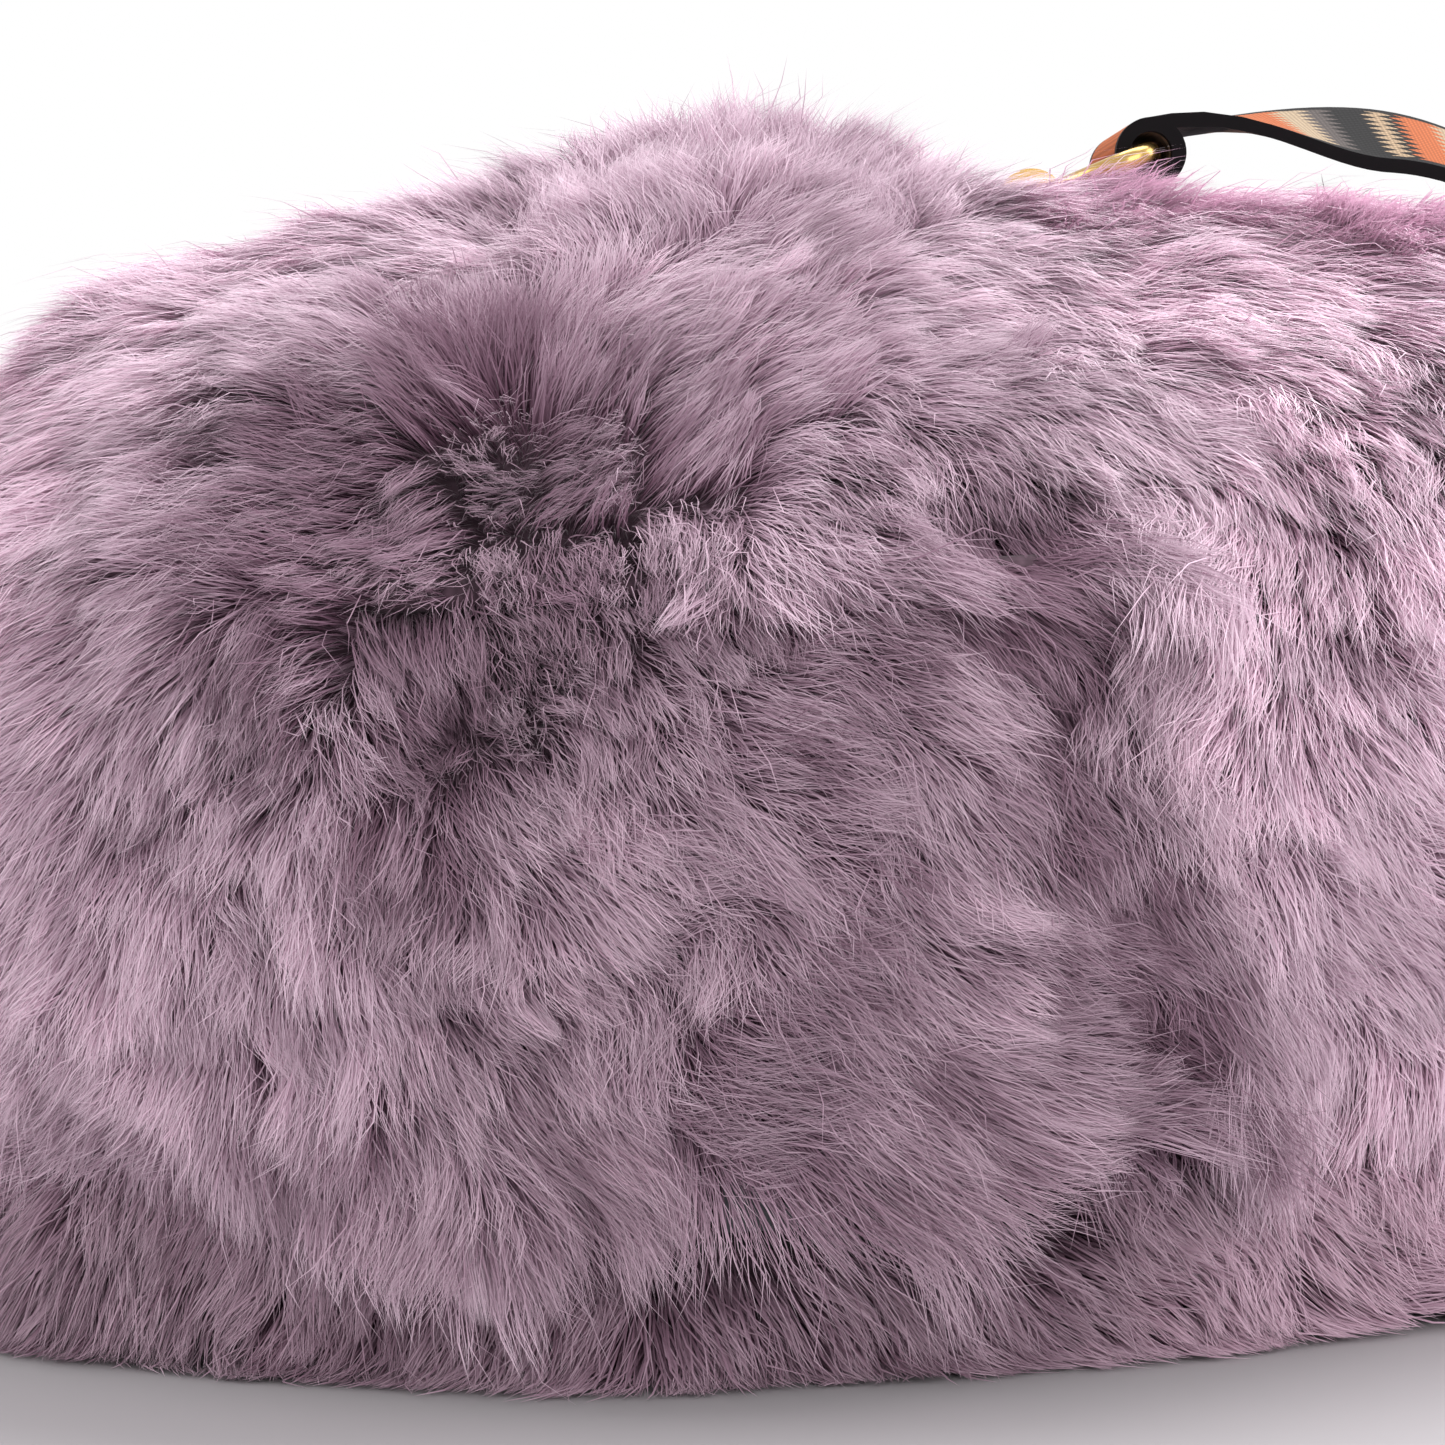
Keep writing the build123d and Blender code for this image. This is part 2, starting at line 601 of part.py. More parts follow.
with BuildPart() as latch_slide:
    with BuildSketch(Plane(origin=(0, latch_back_y - seat_gap, 0), x_dir=(1, 0, 0), z_dir=(0, -1, 0))):
        with Locations((0, latch_z)):
            Rectangle(2 * latch_half, latch_plate_h)
        with Locations((-latch_half, latch_z)):
            Rectangle(tongue_w, latch_z - tongue_low_z, align=(Align.MIN, Align.MAX))
        with Locations((-latch_half, tongue_low_z)):
            Rectangle(tongue_w + foot_len, foot_h, align=(Align.MIN, Align.MIN))
        with Locations(*[(x + latch_travel / -2, z) for x, _, z in latch_pins_at]):
            SlotCenterToCenter(latch_travel, 2 * (latch_pin_r + latch_slot_play), mode=Mode.SUBTRACT)
    extrude(amount=latch_plate_t)
    grip_x = -latch_travel / 2
    with Locations((grip_x, latch_front_y - seat_gap, latch_z)):
        Box(latch_grip_w, latch_grip_t, latch_plate_h - 1, align=(Align.CENTER, Align.MAX, Align.CENTER))
    with Locations(*[(grip_x + step * latch_grip_w / 3, latch_front_y - seat_gap - latch_grip_t, latch_z)
                     for step in (-1, 0, 1)]):
        Box(latch_grip_w / 6, latch_grip_t, latch_plate_h, mode=Mode.SUBTRACT)
keep(latch_slide, "latch_slide")

with BuildPart() as latch_keeper:
    with Locations((0, latch_back_y + latch_play, seam_z - 0.2)):
        Box(2 * latch_half, 20, latch_drop - 1, align=(Align.CENTER, Align.MIN, Align.MAX))
    with Locations((lip_x, latch_front_y - 0.4, tongue_low_z + foot_h + latch_play)):
        Box(latch_half - lip_x, latch_plate_t + 2, 3, align=(Align.MIN, Align.MIN, Align.MIN))
    with BuildSketch(Plane.XY.offset(tray_floor_z)):
        Ellipse(tray_a + seat_gap, tray_b + seat_gap)
    extrude(amount=seam_z, mode=Mode.SUBTRACT)
keep(latch_keeper, "latch_keeper")

# ---------------------------------------------------------------- strap, rings, anchors
def ring_on(eye, slope):
    """The wire ring through an eye, its plane leaning up from +X by slope."""
    plane = Plane(origin=(eye[0], strap_y, eye[1]), x_dir=(cos(radians(slope)), 0, sin(radians(slope))),
                  z_dir=(-sin(radians(slope)), 0, cos(radians(slope))))
    with BuildPart() as ring:
        with BuildLine(plane) as bow:
            arc = EllipticalCenterArc((ring_depth, 0), ring_depth, ring_half_w, start_angle=90, arc_size=180)
            Line(arc @ 1, arc @ 0)
            fillet(bow.vertices(), ring_corner_r)
        path = bow.wire()
        with BuildSketch(Plane(origin=path @ 0, z_dir=path % 0)):
            Circle(ring_wire_r)
        sweep(path=path)
    return ring


def anchor_at(root, eye, lean):
    """A disc on the basket with a plate eye that holds a ring."""
    with BuildPart() as anchor:
        with Locations(Location((root[0], strap_y, root[1]), (0, lean, 0))):
            Cylinder(anchor_disc_r, 2 * anchor_disc_t)
        reach = sqrt((eye[0] - root[0]) ** 2 + (eye[1] - root[1]) ** 2)
        with Locations(Location((root[0], strap_y, root[1]), (0, lean, 0))):
            Box(2 * eye_r, eye_t, reach, align=(Align.CENTER, Align.CENTER, Align.MIN))
        with Locations(Location((eye[0], strap_y, eye[1]), (90, 0, 0))):
            Cylinder(eye_r, eye_t)
            Cylinder(eye_hole_r, 2 * eye_t, mode=Mode.SUBTRACT)
        add(egg(frame_in - seat_gap), mode=Mode.SUBTRACT)
    return anchor


side_eye = (side_eye_x, side_eye_z)
ring_top = ring_on(top_eye, top_ring_slope)
keep(ring_top, "ring_top")
ring_side = ring_on(side_eye, side_ring_slope)
keep(ring_side, "ring_side")
anchor_top = anchor_at((top_eye_x, surface_z(frame_in, top_eye_x, strap_y)), top_eye, 0)
keep(anchor_top, "anchor_top")
anchor_side = anchor_at((side_root_x, side_root_z), side_eye, 90 - degrees(side_out))
keep(anchor_side, "anchor_side")

with BuildPart() as carry_strap:
    with BuildSketch(strap_plane):
        with BuildLine():
            strap_route()
        trace(line_width=strap_t)
        with Locations(top_bar, side_bar):
            Circle(strap_loop_r + strap_t)
        with Locations(top_bar, side_bar):
            Circle(strap_loop_r, mode=Mode.SUBTRACT)
    extrude(amount=strap_w / 2, both=True)
keep(carry_strap, "carry_strap")

# ---------------------------------------------------------------- suspension for the microphones

def dovetail(play):
    """Section of the rail, wider at the top, grown by play on every side."""
    return [(-rail_foot_w / 2 - play, -play), (rail_foot_w / 2 + play, -play),
            (rail_top_w / 2 + play, rail_h + play), (-rail_top_w / 2 - play, rail_h + play)]


with BuildPart() as mic_rail:
    with BuildSketch(Plane(origin=(0, 0, rail_z), x_dir=(0, 1, 0), z_dir=(1, 0, 0))):
        Polygon(*dovetail(0), align=None)
    extrude(amount=rail_len / 2, both=True)
    with Locations((-post_x, 0, rail_z + rail_h), (post_x, 0, rail_z + rail_h)):
        CounterSinkHole(rail_screw_r + 0.2, rail_screw_head_r + 0.5, counter_sink_angle=90)
keep(mic_rail, "mic_rail")

with BuildPart() as rail_screws:
    with Locations((-post_x, 0, rail_z + rail_h - 0.3), (post_x, 0, rail_z + rail_h - 0.3)):
        Cone(rail_screw_r, rail_screw_head_r, rail_screw_head_r - rail_screw_r,
             align=(Align.CENTER, Align.CENTER, Align.MAX))
    with Locations((-post_x, 0, rail_z + rail_h - 2), (post_x, 0, rail_z + rail_h - 2)):
        Cylinder(rail_screw_r - 0.35, rail_h + 4, align=(Align.CENTER, Align.CENTER, Align.MAX))
    with Locations((-post_x, 0, rail_z + rail_h - 0.3), (post_x, 0, rail_z + rail_h - 0.3)):
        Cylinder(1.2, 2, mode=Mode.SUBTRACT)
keep(rail_screws, "rail_screws")

carriage_top = rail_z + rail_h + carriage_over
carriage_low = rail_z + 1.5
screw_z = rail_z + rail_h - 2.2
lyre_foot_z = carriage_top + seat_gap
hub_z = carriage_top + hub_rise
swivel_top_z = hub_z + hub_t + clip_stem_h
clip_z = swivel_top_z + clip_wall + clip_bore_r - 0.6

for side, name in ((-1, "left"), (1, "right")):
    mid_x = side * carriage_x
    with BuildPart() as carriage:
        with Locations((mid_x, 0, carriage_low)):
            Box(carriage_l, carriage_w, carriage_top - carriage_low,
                align=(Align.CENTER, Align.CENTER, Align.MIN))
        fillet(carriage.edges().filter_by(Axis.Z), 3)
        with BuildSketch(Plane(origin=(mid_x, 0, rail_z), x_dir=(0, 1, 0), z_dir=(1, 0, 0))):
            Polygon(*dovetail(slide_play), align=None)
        extrude(amount=carriage_l, both=True, mode=Mode.SUBTRACT)
        with Locations(Location((mid_x, -carriage_w / 2, screw_z), (90, 0, 0))):
            Cylinder(screw_r + pin_fit, carriage_w, mode=Mode.SUBTRACT)
    keep(carriage, f"carriage_{name}")

    with BuildPart() as thumb_screw:
        with Locations(Location((mid_x, -carriage_w / 2 - 0.4, screw_z), (90, 0, 0))):
            Cylinder(knob_r, knob_l, align=(Align.CENTER, Align.CENTER, Align.MIN))
        with Locations(Location((mid_x, -carriage_w / 2 - 0.4 - knob_l / 2, screw_z), (90, 0, 0))):
            with PolarLocations(knob_r + 0.5, knob_flutes):
                Cylinder(0.9, knob_l + 1, mode=Mode.SUBTRACT)
        with Locations(Location((mid_x, -carriage_w / 2 - 1, screw_z), (-90, 0, 0))):
            Cylinder(screw_r, (carriage_w - rail_top_w) / 2 + 0.9,
                     align=(Align.CENTER, Align.CENTER, Align.MIN))
    keep(thumb_screw, f"thumb_screw_{name}")

    with BuildPart() as lyre:
        with BuildSketch(Plane(origin=(mid_x, 0, lyre_foot_z), x_dir=(0, 1, 0), z_dir=(1, 0, 0))) as loops:
            with BuildLine():
                arm = Spline((3, lyre_t / 2), (0.8 * lyre_half, 0.25 * lyre_low), (lyre_half, lyre_low),
                             (0.78 * lyre_half, lyre_high), (0.45 * lyre_half, lyre_high - 2),
                             (hub_r - 1, hub_rise + hub_t / 2), tangents=((1, 0), (-0.5, -1)))
            trace(line_width=lyre_t)
            mirror(about=Plane.YZ)
            with Locations((0, lyre_t / 2)):
                Rectangle(8, lyre_t)
        extrude(amount=lyre_l / 2, both=True)
        with Locations((mid_x, 0, hub_z)):
            Cylinder(hub_r, hub_t, align=(Align.CENTER, Align.CENTER, Align.MIN))
            Cylinder(swivel_r + pin_fit, 4 * hub_t, mode=Mode.SUBTRACT)
    keep(lyre, f"lyre_{name}")

    aim = degrees(atan2(-cos(radians(ortf_half_angle)), side * sin(radians(ortf_half_angle))))
    with BuildPart() as mic_clip:
        clip_plane = Plane(origin=(mid_x, 0, clip_z), x_dir=(-sin(radians(aim)), cos(radians(aim)), 0),
                           z_dir=(cos(radians(aim)), sin(radians(aim)), 0))
        with BuildSketch(clip_plane):
            Circle(clip_bore_r + clip_wall)
            Circle(clip_bore_r, mode=Mode.SUBTRACT)
            Polygon((0, 0), (3 * clip_bore_r * sin(radians(clip_gap_deg / 2)), 3 * clip_bore_r),
                    (-3 * clip_bore_r * sin(radians(clip_gap_deg / 2)), 3 * clip_bore_r),
                    align=None, mode=Mode.SUBTRACT)
        extrude(amount=clip_l / 2, both=True)
        with Locations((mid_x, 0, hub_z + hub_t + seat_gap)):
            Cylinder(clip_stem_r, clip_stem_h + 1, align=(Align.CENTER, Align.CENTER, Align.MIN))
        with Locations((mid_x, 0, hub_z + hub_t + 1)):
            Cylinder(swivel_r, hub_t + 3, align=(Align.CENTER, Align.CENTER, Align.MAX))
        with Locations((mid_x, 0, hub_z - 0.3)):
            Cylinder(swivel_r + 1, 1.2, align=(Align.CENTER, Align.CENTER, Align.MAX))
        with Locations(Location((mid_x, 0, clip_z), (0, 90, aim))):
            Cylinder(clip_bore_r, 3 * clip_l, mode=Mode.SUBTRACT)
    keep(mic_clip, f"mic_clip_{name}")
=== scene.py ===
"""Looks of the oval furry windscreen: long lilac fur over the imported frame, strap, rings and the parts inside.

Metres, in the row's frame: +Z up, +X along the long side, -Y to the front.
"""
import json
import math

import bmesh
import bpy
import numpy as np
from mathutils import Matrix, Vector
from mathutils.kdtree import KDTree


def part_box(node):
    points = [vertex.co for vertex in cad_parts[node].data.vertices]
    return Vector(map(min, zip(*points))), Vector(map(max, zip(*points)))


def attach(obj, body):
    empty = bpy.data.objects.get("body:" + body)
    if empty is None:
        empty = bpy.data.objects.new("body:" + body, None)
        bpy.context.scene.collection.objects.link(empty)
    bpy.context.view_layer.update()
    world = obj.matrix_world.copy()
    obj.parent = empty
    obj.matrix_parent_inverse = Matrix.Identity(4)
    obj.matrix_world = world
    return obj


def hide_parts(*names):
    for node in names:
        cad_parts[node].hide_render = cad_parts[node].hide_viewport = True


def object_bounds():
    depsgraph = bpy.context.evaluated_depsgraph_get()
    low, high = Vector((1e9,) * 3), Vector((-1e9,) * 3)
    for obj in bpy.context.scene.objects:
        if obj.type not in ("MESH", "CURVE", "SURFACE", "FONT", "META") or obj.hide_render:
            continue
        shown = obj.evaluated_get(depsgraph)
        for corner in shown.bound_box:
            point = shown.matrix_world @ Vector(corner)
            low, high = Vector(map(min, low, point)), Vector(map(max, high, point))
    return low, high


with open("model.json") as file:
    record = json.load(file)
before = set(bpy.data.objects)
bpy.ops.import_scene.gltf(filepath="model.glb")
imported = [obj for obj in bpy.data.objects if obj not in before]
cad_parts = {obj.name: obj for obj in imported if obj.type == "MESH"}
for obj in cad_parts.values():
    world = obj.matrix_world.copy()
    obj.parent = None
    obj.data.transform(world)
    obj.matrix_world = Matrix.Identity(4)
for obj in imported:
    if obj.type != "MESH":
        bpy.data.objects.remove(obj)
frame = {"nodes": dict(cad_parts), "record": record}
cad_low, cad_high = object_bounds()

MM = 0.001
SEED = 7

# ---- the oval
MID_Z = 60 * MM  # height at which the hood is widest
MIDDLE = np.array([0.0, 0.0, MID_Z])
REACH = np.array([(cad_high.x - cad_low.x) / 2, -cad_low.y, cad_high.z - MID_Z])
HOOD_NODES = ["fur_left_cap", "fur_front_panel", "fur_rear_panel", "fur_rear_gusset_left",
              "fur_rear_gusset_right", "fur_right_cap"]
BAND_NODES = sorted(name for name in frame["nodes"] if name.startswith("band_"))
SEAM_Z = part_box("band_end_left_front")[1].z
HOOD_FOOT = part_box("fur_left_cap")[0].z
SKIN_IN = 9.0 * MM  # the hood's fur is rooted this far inside its outside
FLAP_LOW, FLAP_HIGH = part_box("fur_flap")
FLAP_SKIN_IN = 4.5 * MM  # and the flap's fur this far
DEEPEST = 60 * MM  # depth_inside looks no deeper than this
HALVINGS = 24


def add_object(name, data):
    thing = bpy.data.objects.new(name, data)
    bpy.context.scene.collection.objects.link(thing)
    return thing


def on_oval(x, z, inset):
    """The point at that x and z (mm) on the front of the oval surface."""
    axes = REACH - inset
    px, pz = x * MM, z * MM - MID_Z
    share = max(1 - (px / axes[0]) ** 2 - (pz / axes[2]) ** 2, 0.0)
    return np.array([px, -axes[1] * math.sqrt(share), pz + MID_Z])


def oval_normal(points, inset):
    grad = (points - MIDDLE) / (REACH - inset) ** 2
    return grad / np.linalg.norm(grad, axis=1, keepdims=True)


def depth_inside(points):
    """About how far each point lies inside the fur's outside."""
    low = np.zeros(len(points))
    high = np.full(len(points), DEEPEST)
    for _ in range(HALVINGS):
        mid = (low + high) / 2
        size = (((points - MIDDLE) / (REACH[None, :] - mid[:, None])) ** 2).sum(1)
        deeper = size < 1
        low = np.where(deeper, mid, low)
        high = np.where(deeper, high, mid)
    return low


def unit(v):
    return v / np.maximum(np.linalg.norm(v, axis=-1, keepdims=True), 1e-9)


# ---- smooth random fields
FIELD_SHIFT = 1000.5  # keeps the lattice's points above zero
FIELD_GAIN = 1.6  # blending corners narrows the noise, and this widens it again


def lattice(i, j, k, seed):
    """A fixed random number from -1 to 1 for each whole-numbered point, from a plain integer hash."""
    h = (i.astype(np.uint32) * np.uint32(0x8DA6B343)) ^ (j.astype(np.uint32) * np.uint32(0xD8163841))
    h ^= (k.astype(np.uint32) * np.uint32(0xCB1AB31F)) ^ np.uint32(seed * 7919 + 13)
    h ^= h >> np.uint32(15)
    h = h * np.uint32(0x2C1B3C6D)
    h ^= h >> np.uint32(12)
    h = h * np.uint32(0x297A2D39)
    h ^= h >> np.uint32(15)
    return h.astype(np.float64) / 2 ** 31 - 1


def field(points, size, seed):
    """Smooth noise from about -1 to 1 whose bumps are about size apart."""
    q = points / size + FIELD_SHIFT
    cell = np.floor(q).astype(np.int64)
    f = q - cell
    f = f * f * (3 - 2 * f)
    total = 0
    for dx in (0, 1):
        for dy in (0, 1):
            for dz in (0, 1):
                share = np.abs(1 - dx - f[:, 0]) * np.abs(1 - dy - f[:, 1]) * np.abs(1 - dz - f[:, 2])
                total = total + share * lattice(cell[:, 0] + dx, cell[:, 1] + dy, cell[:, 2] + dz, seed)
    return total * FIELD_GAIN


# ---- how the fur lies
# (x, z) in mm on the front, (dx, dz) the way the hair runs, lean from 0 (straight out) to 1 (flat),
# length as a share of the pile's full length, mess from 0 (combed) to 1 (matted)
FRONT_LIE = [
    # left shoulder: swept left, then down
    (-90, 100, -1, -.25, .84, 1, .2), (-92, 78, -.75, -.65, .84, 1, .2), (-95, 60, -.35, -.94, .84, 1, .2),
    (-75, 112, -1, -.1, .84, 1, .2), (-66, 96, -1, -.15, .8, 1, .3), (-60, 123, -1, -.05, .74, 1, .2),
    (-72, 80, -.95, -.3, .8, 1.05, .3), (-55, 106, -1, -.1, .5, .85, .4), (-40, 121, -1, -.25, .8, 1, .3),
    (-52, 92, -.9, 0, .22, .68, .6), (-55, 82, -.1, -.7, .4, .85, .4), (-57, 70, -.2, -.9, .62, 1, .3),
    (-60, 80, -.7, -.6, .6, .95, .3), (-84, 88, -1, -.3, .84, 1, .2),
    # whorl, hair straight out
    (-44, 100, -.5, .3, .2, .66, .5), (-41, 90, -.4, 0, .14, .62, .5), (-32, 99, .2, .5, .2, .66, .5),
    (-32, 88, .1, -.4, .14, .62, .5), (-24, 88, .4, -.1, .2, .66, .5), (-46, 84, -.3, -.7, .3, .72, .4),
    (-33, 92.5, .1, -.9, .35, .7, .4), (-42, 92.5, -.2, -.9, .35, .7, .4), (-24, 92.5, .4, -.8, .4, .75, .4),
    (-22, 80, .4, -.5, .25, .7, .5), (-36, 80, 0, -.8, .16, .66, .8),
    # fountain right of the whorl
    (-29, 109, .5, .85, .5, .9, .2), (-19, 100, .7, .75, .62, .95, .1), (-20, 112, .85, .5, .7, 1, .1),
    (-10, 114, 1, .1, .78, 1, .1), (3, 112, .93, -.35, .8, 1, .1), (-6, 104, .97, 0, .76, 1, .1),
    (6, 101, .85, -.5, .8, 1, .1), (15, 96, .65, -.75, .8, 1, .1), (-9, 93, .92, -.2, .72, 1, .15),
    (3, 86, .8, -.6, .78, 1, .15), (12, 80, .5, -.85, .78, 1, .15), (-12, 82, .9, -.35, .68, .95, .2),
    (-3, 75, .8, -.6, .74, 1, .3), (12, 108, .7, -.7, .8, 1, .1), (8, 118, .7, -.65, .76, 1, .2),
    # crown knot
    (-8, 132, .1, .9, .45, 1.05, .5), (5, 134, .4, .7, .5, 1.05, .5), (-24, 130, -.5, .6, .6, 1, .4),
    # right shoulder: combed down
    (20, 118, .5, -.87, .76, 1, .1), (30, 118, .25, -.97, .74, 1, .1), (38, 112, .15, -1, .76, 1, .1),
    (48, 108, .1, -1, .76, 1, .15), (57, 112, .05, -1, .74, 1, .15), (63, 103, -.05, -1, .76, 1, .15),
    (76, 106, .2, -.98, .76, 1, .15), (70, 116, .2, -.98, .76, 1, .15), (84, 90, .2, -.98, .76, 1, .15),
    (80, 74, .15, -1, .76, 1, .15), (52, 126, .1, -1, .76, 1, .15), (36, 128, .15, -1, .76, 1, .15),
    (28, 106, .3, -.95, .76, 1, .1), (22, 104, .55, -.85, .74, 1, .1), (45, 98, -.05, -1, .76, 1, .1),
    (70, 92, -.1, -1, .76, 1, .2), (56, 92, -.1, -1, .76, 1, .1),
    # valley where the two sides meet
    (21, 92, 0, -1, .55, .7, .2), (30, 95, -.45, -.9, .66, .9, .1), (34, 85, -.75, -.65, .74, 1, .1),
    (45, 86, -.55, -.85, .78, 1, .1), (44, 76, -.8, -.6, .78, 1, .1), (17, 82, .15, -1, .66, 1.1, .1),
    (24, 70, -.15, -1, .7, .95, .2), (58, 76, -.35, -.95, .78, 1, .15), (34, 68, -.5, -.85, .74, 1, .2),
    (66, 66, .1, -1, .78, 1, .2),
    # right side below
    (32, 55, .95, -.25, .66, .9, .2), (45, 52, .8, -.55, .72, 1, .2), (56, 58, .85, -.45, .74, 1, .2),
    (60, 42, .4, -.92, .76, 1, .2), (48, 36, -.1, -1, .76, 1, .2), (50, 26, -.35, -.95, .78, 1, .2),
    (34, 34, .5, -.8, .7, .8, .2), (68, 30, .2, -.98, .78, 1, .2),
    # left side below
    (-86, 50, -.55, -.83, .8, 1, .2), (-74, 55, -.3, -.95, .8, 1, .2), (-66, 48, -.05, -1, .78, 1, .2),
    (-60, 64, -.3, -.95, .74, 1, .3), (-56, 55, .7, -.7, .66, 1.1, .3), (-56, 44, .85, -.5, .66, 1.15, .4),
    (-63, 38, -.2, -.95, .7, .95, .3), (-56, 35, .5, -.85, .66, 1.2, .3), (-76, 36, -.85, -.5, .8, 1, .2),
    (-90, 36, -.5, -.85, .82, 1, .2), (-97, 29, .15, -1, .82, 1.05, .2), (-70, 29, .7, -.7, .8, 1, .2),
    (-84, 28, .2, -1, .8, 1, .2),
    # round tuft left of the flap's hem
    (-46, 31, 0, -1, .56, 1.35, .3), (-39, 30, .65, -.75, .56, 1.3, .3), (-53, 31, -.45, -.9, .56, 1.3, .3)]
FLAP_LIE = [
    (-49.5, 84, -.8, -.45, .55, .9, .35), (-49.5, 75, -.85, -.5, .6, .95, .3), (-49, 67, -.6, -.8, .66, 1, .25),
    (-42, 84, -.2, -.5, .2, .62, .45), (-36, 84, .1, -.6, .16, .6, .45), (-28, 84, .3, -.5, .25, .66, .45),
    (-44, 77, -.4, -.8, .36, .72, .4), (-34, 78, .5, -.6, .5, .8, .4), (-14, 84, .8, -.6, .6, .85, .3),
    (0, 84, .7, -.7, .76, .9, .2), (14, 84, .4, -.9, .76, .9, .2), (34, 82, -.5, -.85, .76, .9, .2),
    (-42, 67, .45, -.85, .66, 1, .2), (-46, 60, .3, -.95, .7, 1, .3), (-47, 50, 0, -1, .7, 1, .4),
    (-47, 40, -.1, -1, .7, 1, .4), (-39, 56, .6, -.8, .76, 1, .2), (-38, 46, .65, -.75, .76, 1, .2),
    (-30, 72, .95, -.25, .78, 1, .2), (-20, 70, .95, -.3, .78, 1, .2), (-9, 68, .9, -.4, .78, 1, .3),
    (1, 66, .75, -.65, .78, 1, .2), (9, 60, .6, -.8, .78, 1, .2), (14, 52, .75, -.6, .74, 1, .3),
    (20, 47, 1, .1, .72, 1, .2), (14, 40, 1, .25, .74, 1, .3), (22, 32, 1, 0, .74, 1.1, .2),
    (34, 30, 1, -.2, .78, 1.1, .2), (33, 60, -.3, -.9, .72, 1.05, .2), (30, 45, .9, -.3, .74, 1.1, .2),
    (37, 52, .6, -.7, .74, 1.15, .2), (37, 68, -.2, -1, .74, 1.15, .2), (-2, 50, .6, -.5, .66, 1, .9),
    (-16, 54, .6, -.4, .66, 1, .9), (-25, 46, .4, -.8, .68, 1, .9), (-34, 38, .6, -.8, .72, 1, .4),
    (-16, 34, .5, -.85, .72, 1.1, .6), (-3, 36, .5, -.8, .7, 1.1, .7), (-5, 29, .35, -.95, .8, 1.35, .3),
    (-14, 29, .3, -.95, .8, 1.3, .3), (4, 30, .5, -.85, .8, 1.3, .3), (8, 30, .95, -.35, .74, 1.1, .3),
    (-28, 30, .65, -.75, .76, 1.1, .3), (-44, 34, .2, -1, .7, .9, .3)]
# (x, z) and radius in mm, and how much shorter the fur is there and how much painted shade darkens it in the
# hollow
HOLLOWS = [
    (-43, 75, 4, .75), (17, 93, 4.5, .6), (20, 78, 4.5, .5), (-24, 28, 5, .45), (-61, 28, 5, .4),
    (-75, 67, 4.5, .5), (-59, 69, 3.5, .5), (33, 32, 6, .65), (26, 55, 4, .6), (26.5, 43, 4, .65),
    (-33, 99, 4, .3), (-70, 45, 3.5, .35), (62, 44, 4, .35), (6, 103, 3.5, .35), (-46, 62, 3, .4)]
# (x, z) and radius in mm, how far in mm the fur stands above (+) or below (-) its surroundings
FOLDS = [
    (-41, 31, 8, 5.5), (-33, 64, 9, 2.5), (-47, 58, 4, -2), (-42, 75, 4, -2.5), (17, 92, 6, -3),
    (20, 76, 6, -3), (34, 36, 7, -3.5), (14, 51, 8, 1.5), (2, 100, 12, 2), (-70, 68, 8, -1.5),
    (45, 100, 16, 1.5), (-66, 92, 10, 1)]
# (x, z) and radius in mm, and how much paler (+) or darker (-) the hairs are painted there: painted light where
# the light falls on the crest, the shoulders, the outer sides and the band's right end, painted shade in the
# whorl, the hollows, the valley and the creases
LIGHT_AND_SHADE = [
    (-42, 100, 11, -.28), (-62, 93, 9, -.14), (-60, 82, 7, -.1), (-36, 92, 11, -.36), (-50, 93, 10, -.34),
    (-30, 86, 7, -.2), (-56, 104, 8, -.18), (-33, 104, 8, -.16), (-46, 104, 8, -.14), (-42, 75, 4, -.4),
    (-48, 66, 3.5, -.25), (-47, 57, 3.5, -.2), (-41, 48, 4, -.16), (-31, 66, 8, .1), (-8, 88, 6, -.16),
    (-16, 90, 4, -.12), (-2, 98, 14, -.14), (12, 90, 12, -.18), (-5, 70, 16, -.06), (14, 50, 14, -.12),
    (-20, 48, 14, -.04), (26, 54, 5, -.3), (27, 41, 5, -.3), (35, 33, 7, -.42), (33, 42, 5, -.25),
    (14, 101, 5, -.24), (17, 92, 5, -.34), (19, 82, 5, -.3), (20, 72, 5, -.24), (19, 63, 5, -.16),
    (-27, 13, 5, -.2), (-58, 12, 5, -.18), (-43, 15, 3, -.2), (-88, 102, 18, .22), (40, 112, 18, .16),
    (58, 100, 18, .18), (62, 70, 18, .16), (42, 78, 12, .08), (-30, 126, 16, .1), (0, 134, 16, -.08),
    (-70, 122, 16, .14), (-95, 110, 14, .14), (38, 140, 14, .32), (58, 136, 16, .32), (80, 124, 16, .3),
    (60, 24, 16, .14), (78, 10, 20, .6), (44, 8, 14, .6)]
# (x in mm, mm) how far the crest of the fur stands above (+) or below (-) the plain oval
CREST = [
    (-120, 1), (-94, 1.8), (-84, 2.2), (-76, 2.2), (-58, 0), (-44, -2.2), (-31, -4.6), (-20, -2.4), (-9, 0),
    (1, -4.8), (9, -8), (17, -9), (30, -6.5), (44, -3.6), (54, -1.6), (64, 1.6), (75, 4), (90, 5), (120, 1.5)]
# locks of the matted flap that end in a point: root (x, z), tip (x, z) and root radius, all in mm, and how
# tightly they are held; held strands are painted paler, a painted highlight on the lock
LOCKS = [
    (8, 56, 22, 51, 6, .95), (7, 45, 21.5, 39, 6, .95), (14, 33, 29, 28, 6.5, .95), (-14, 62, -4, 52, 5, .6),
    (-30, 58, -20, 47, 5, .6), (-24, 40, -16, 28, 5, .6), (-38, 50, -30, 40, 4.5, .6), (-6, 38, 4, 27, 5, .6)]
# the round tuft that hangs over the band, whose held strands get the same painted highlight
TUFT = [
    (-50, 30, -47, 7, 6, .6), (-42, 30, -41, 4.5, 7, .65), (-35, 30, -34, 7, 6, .6)]


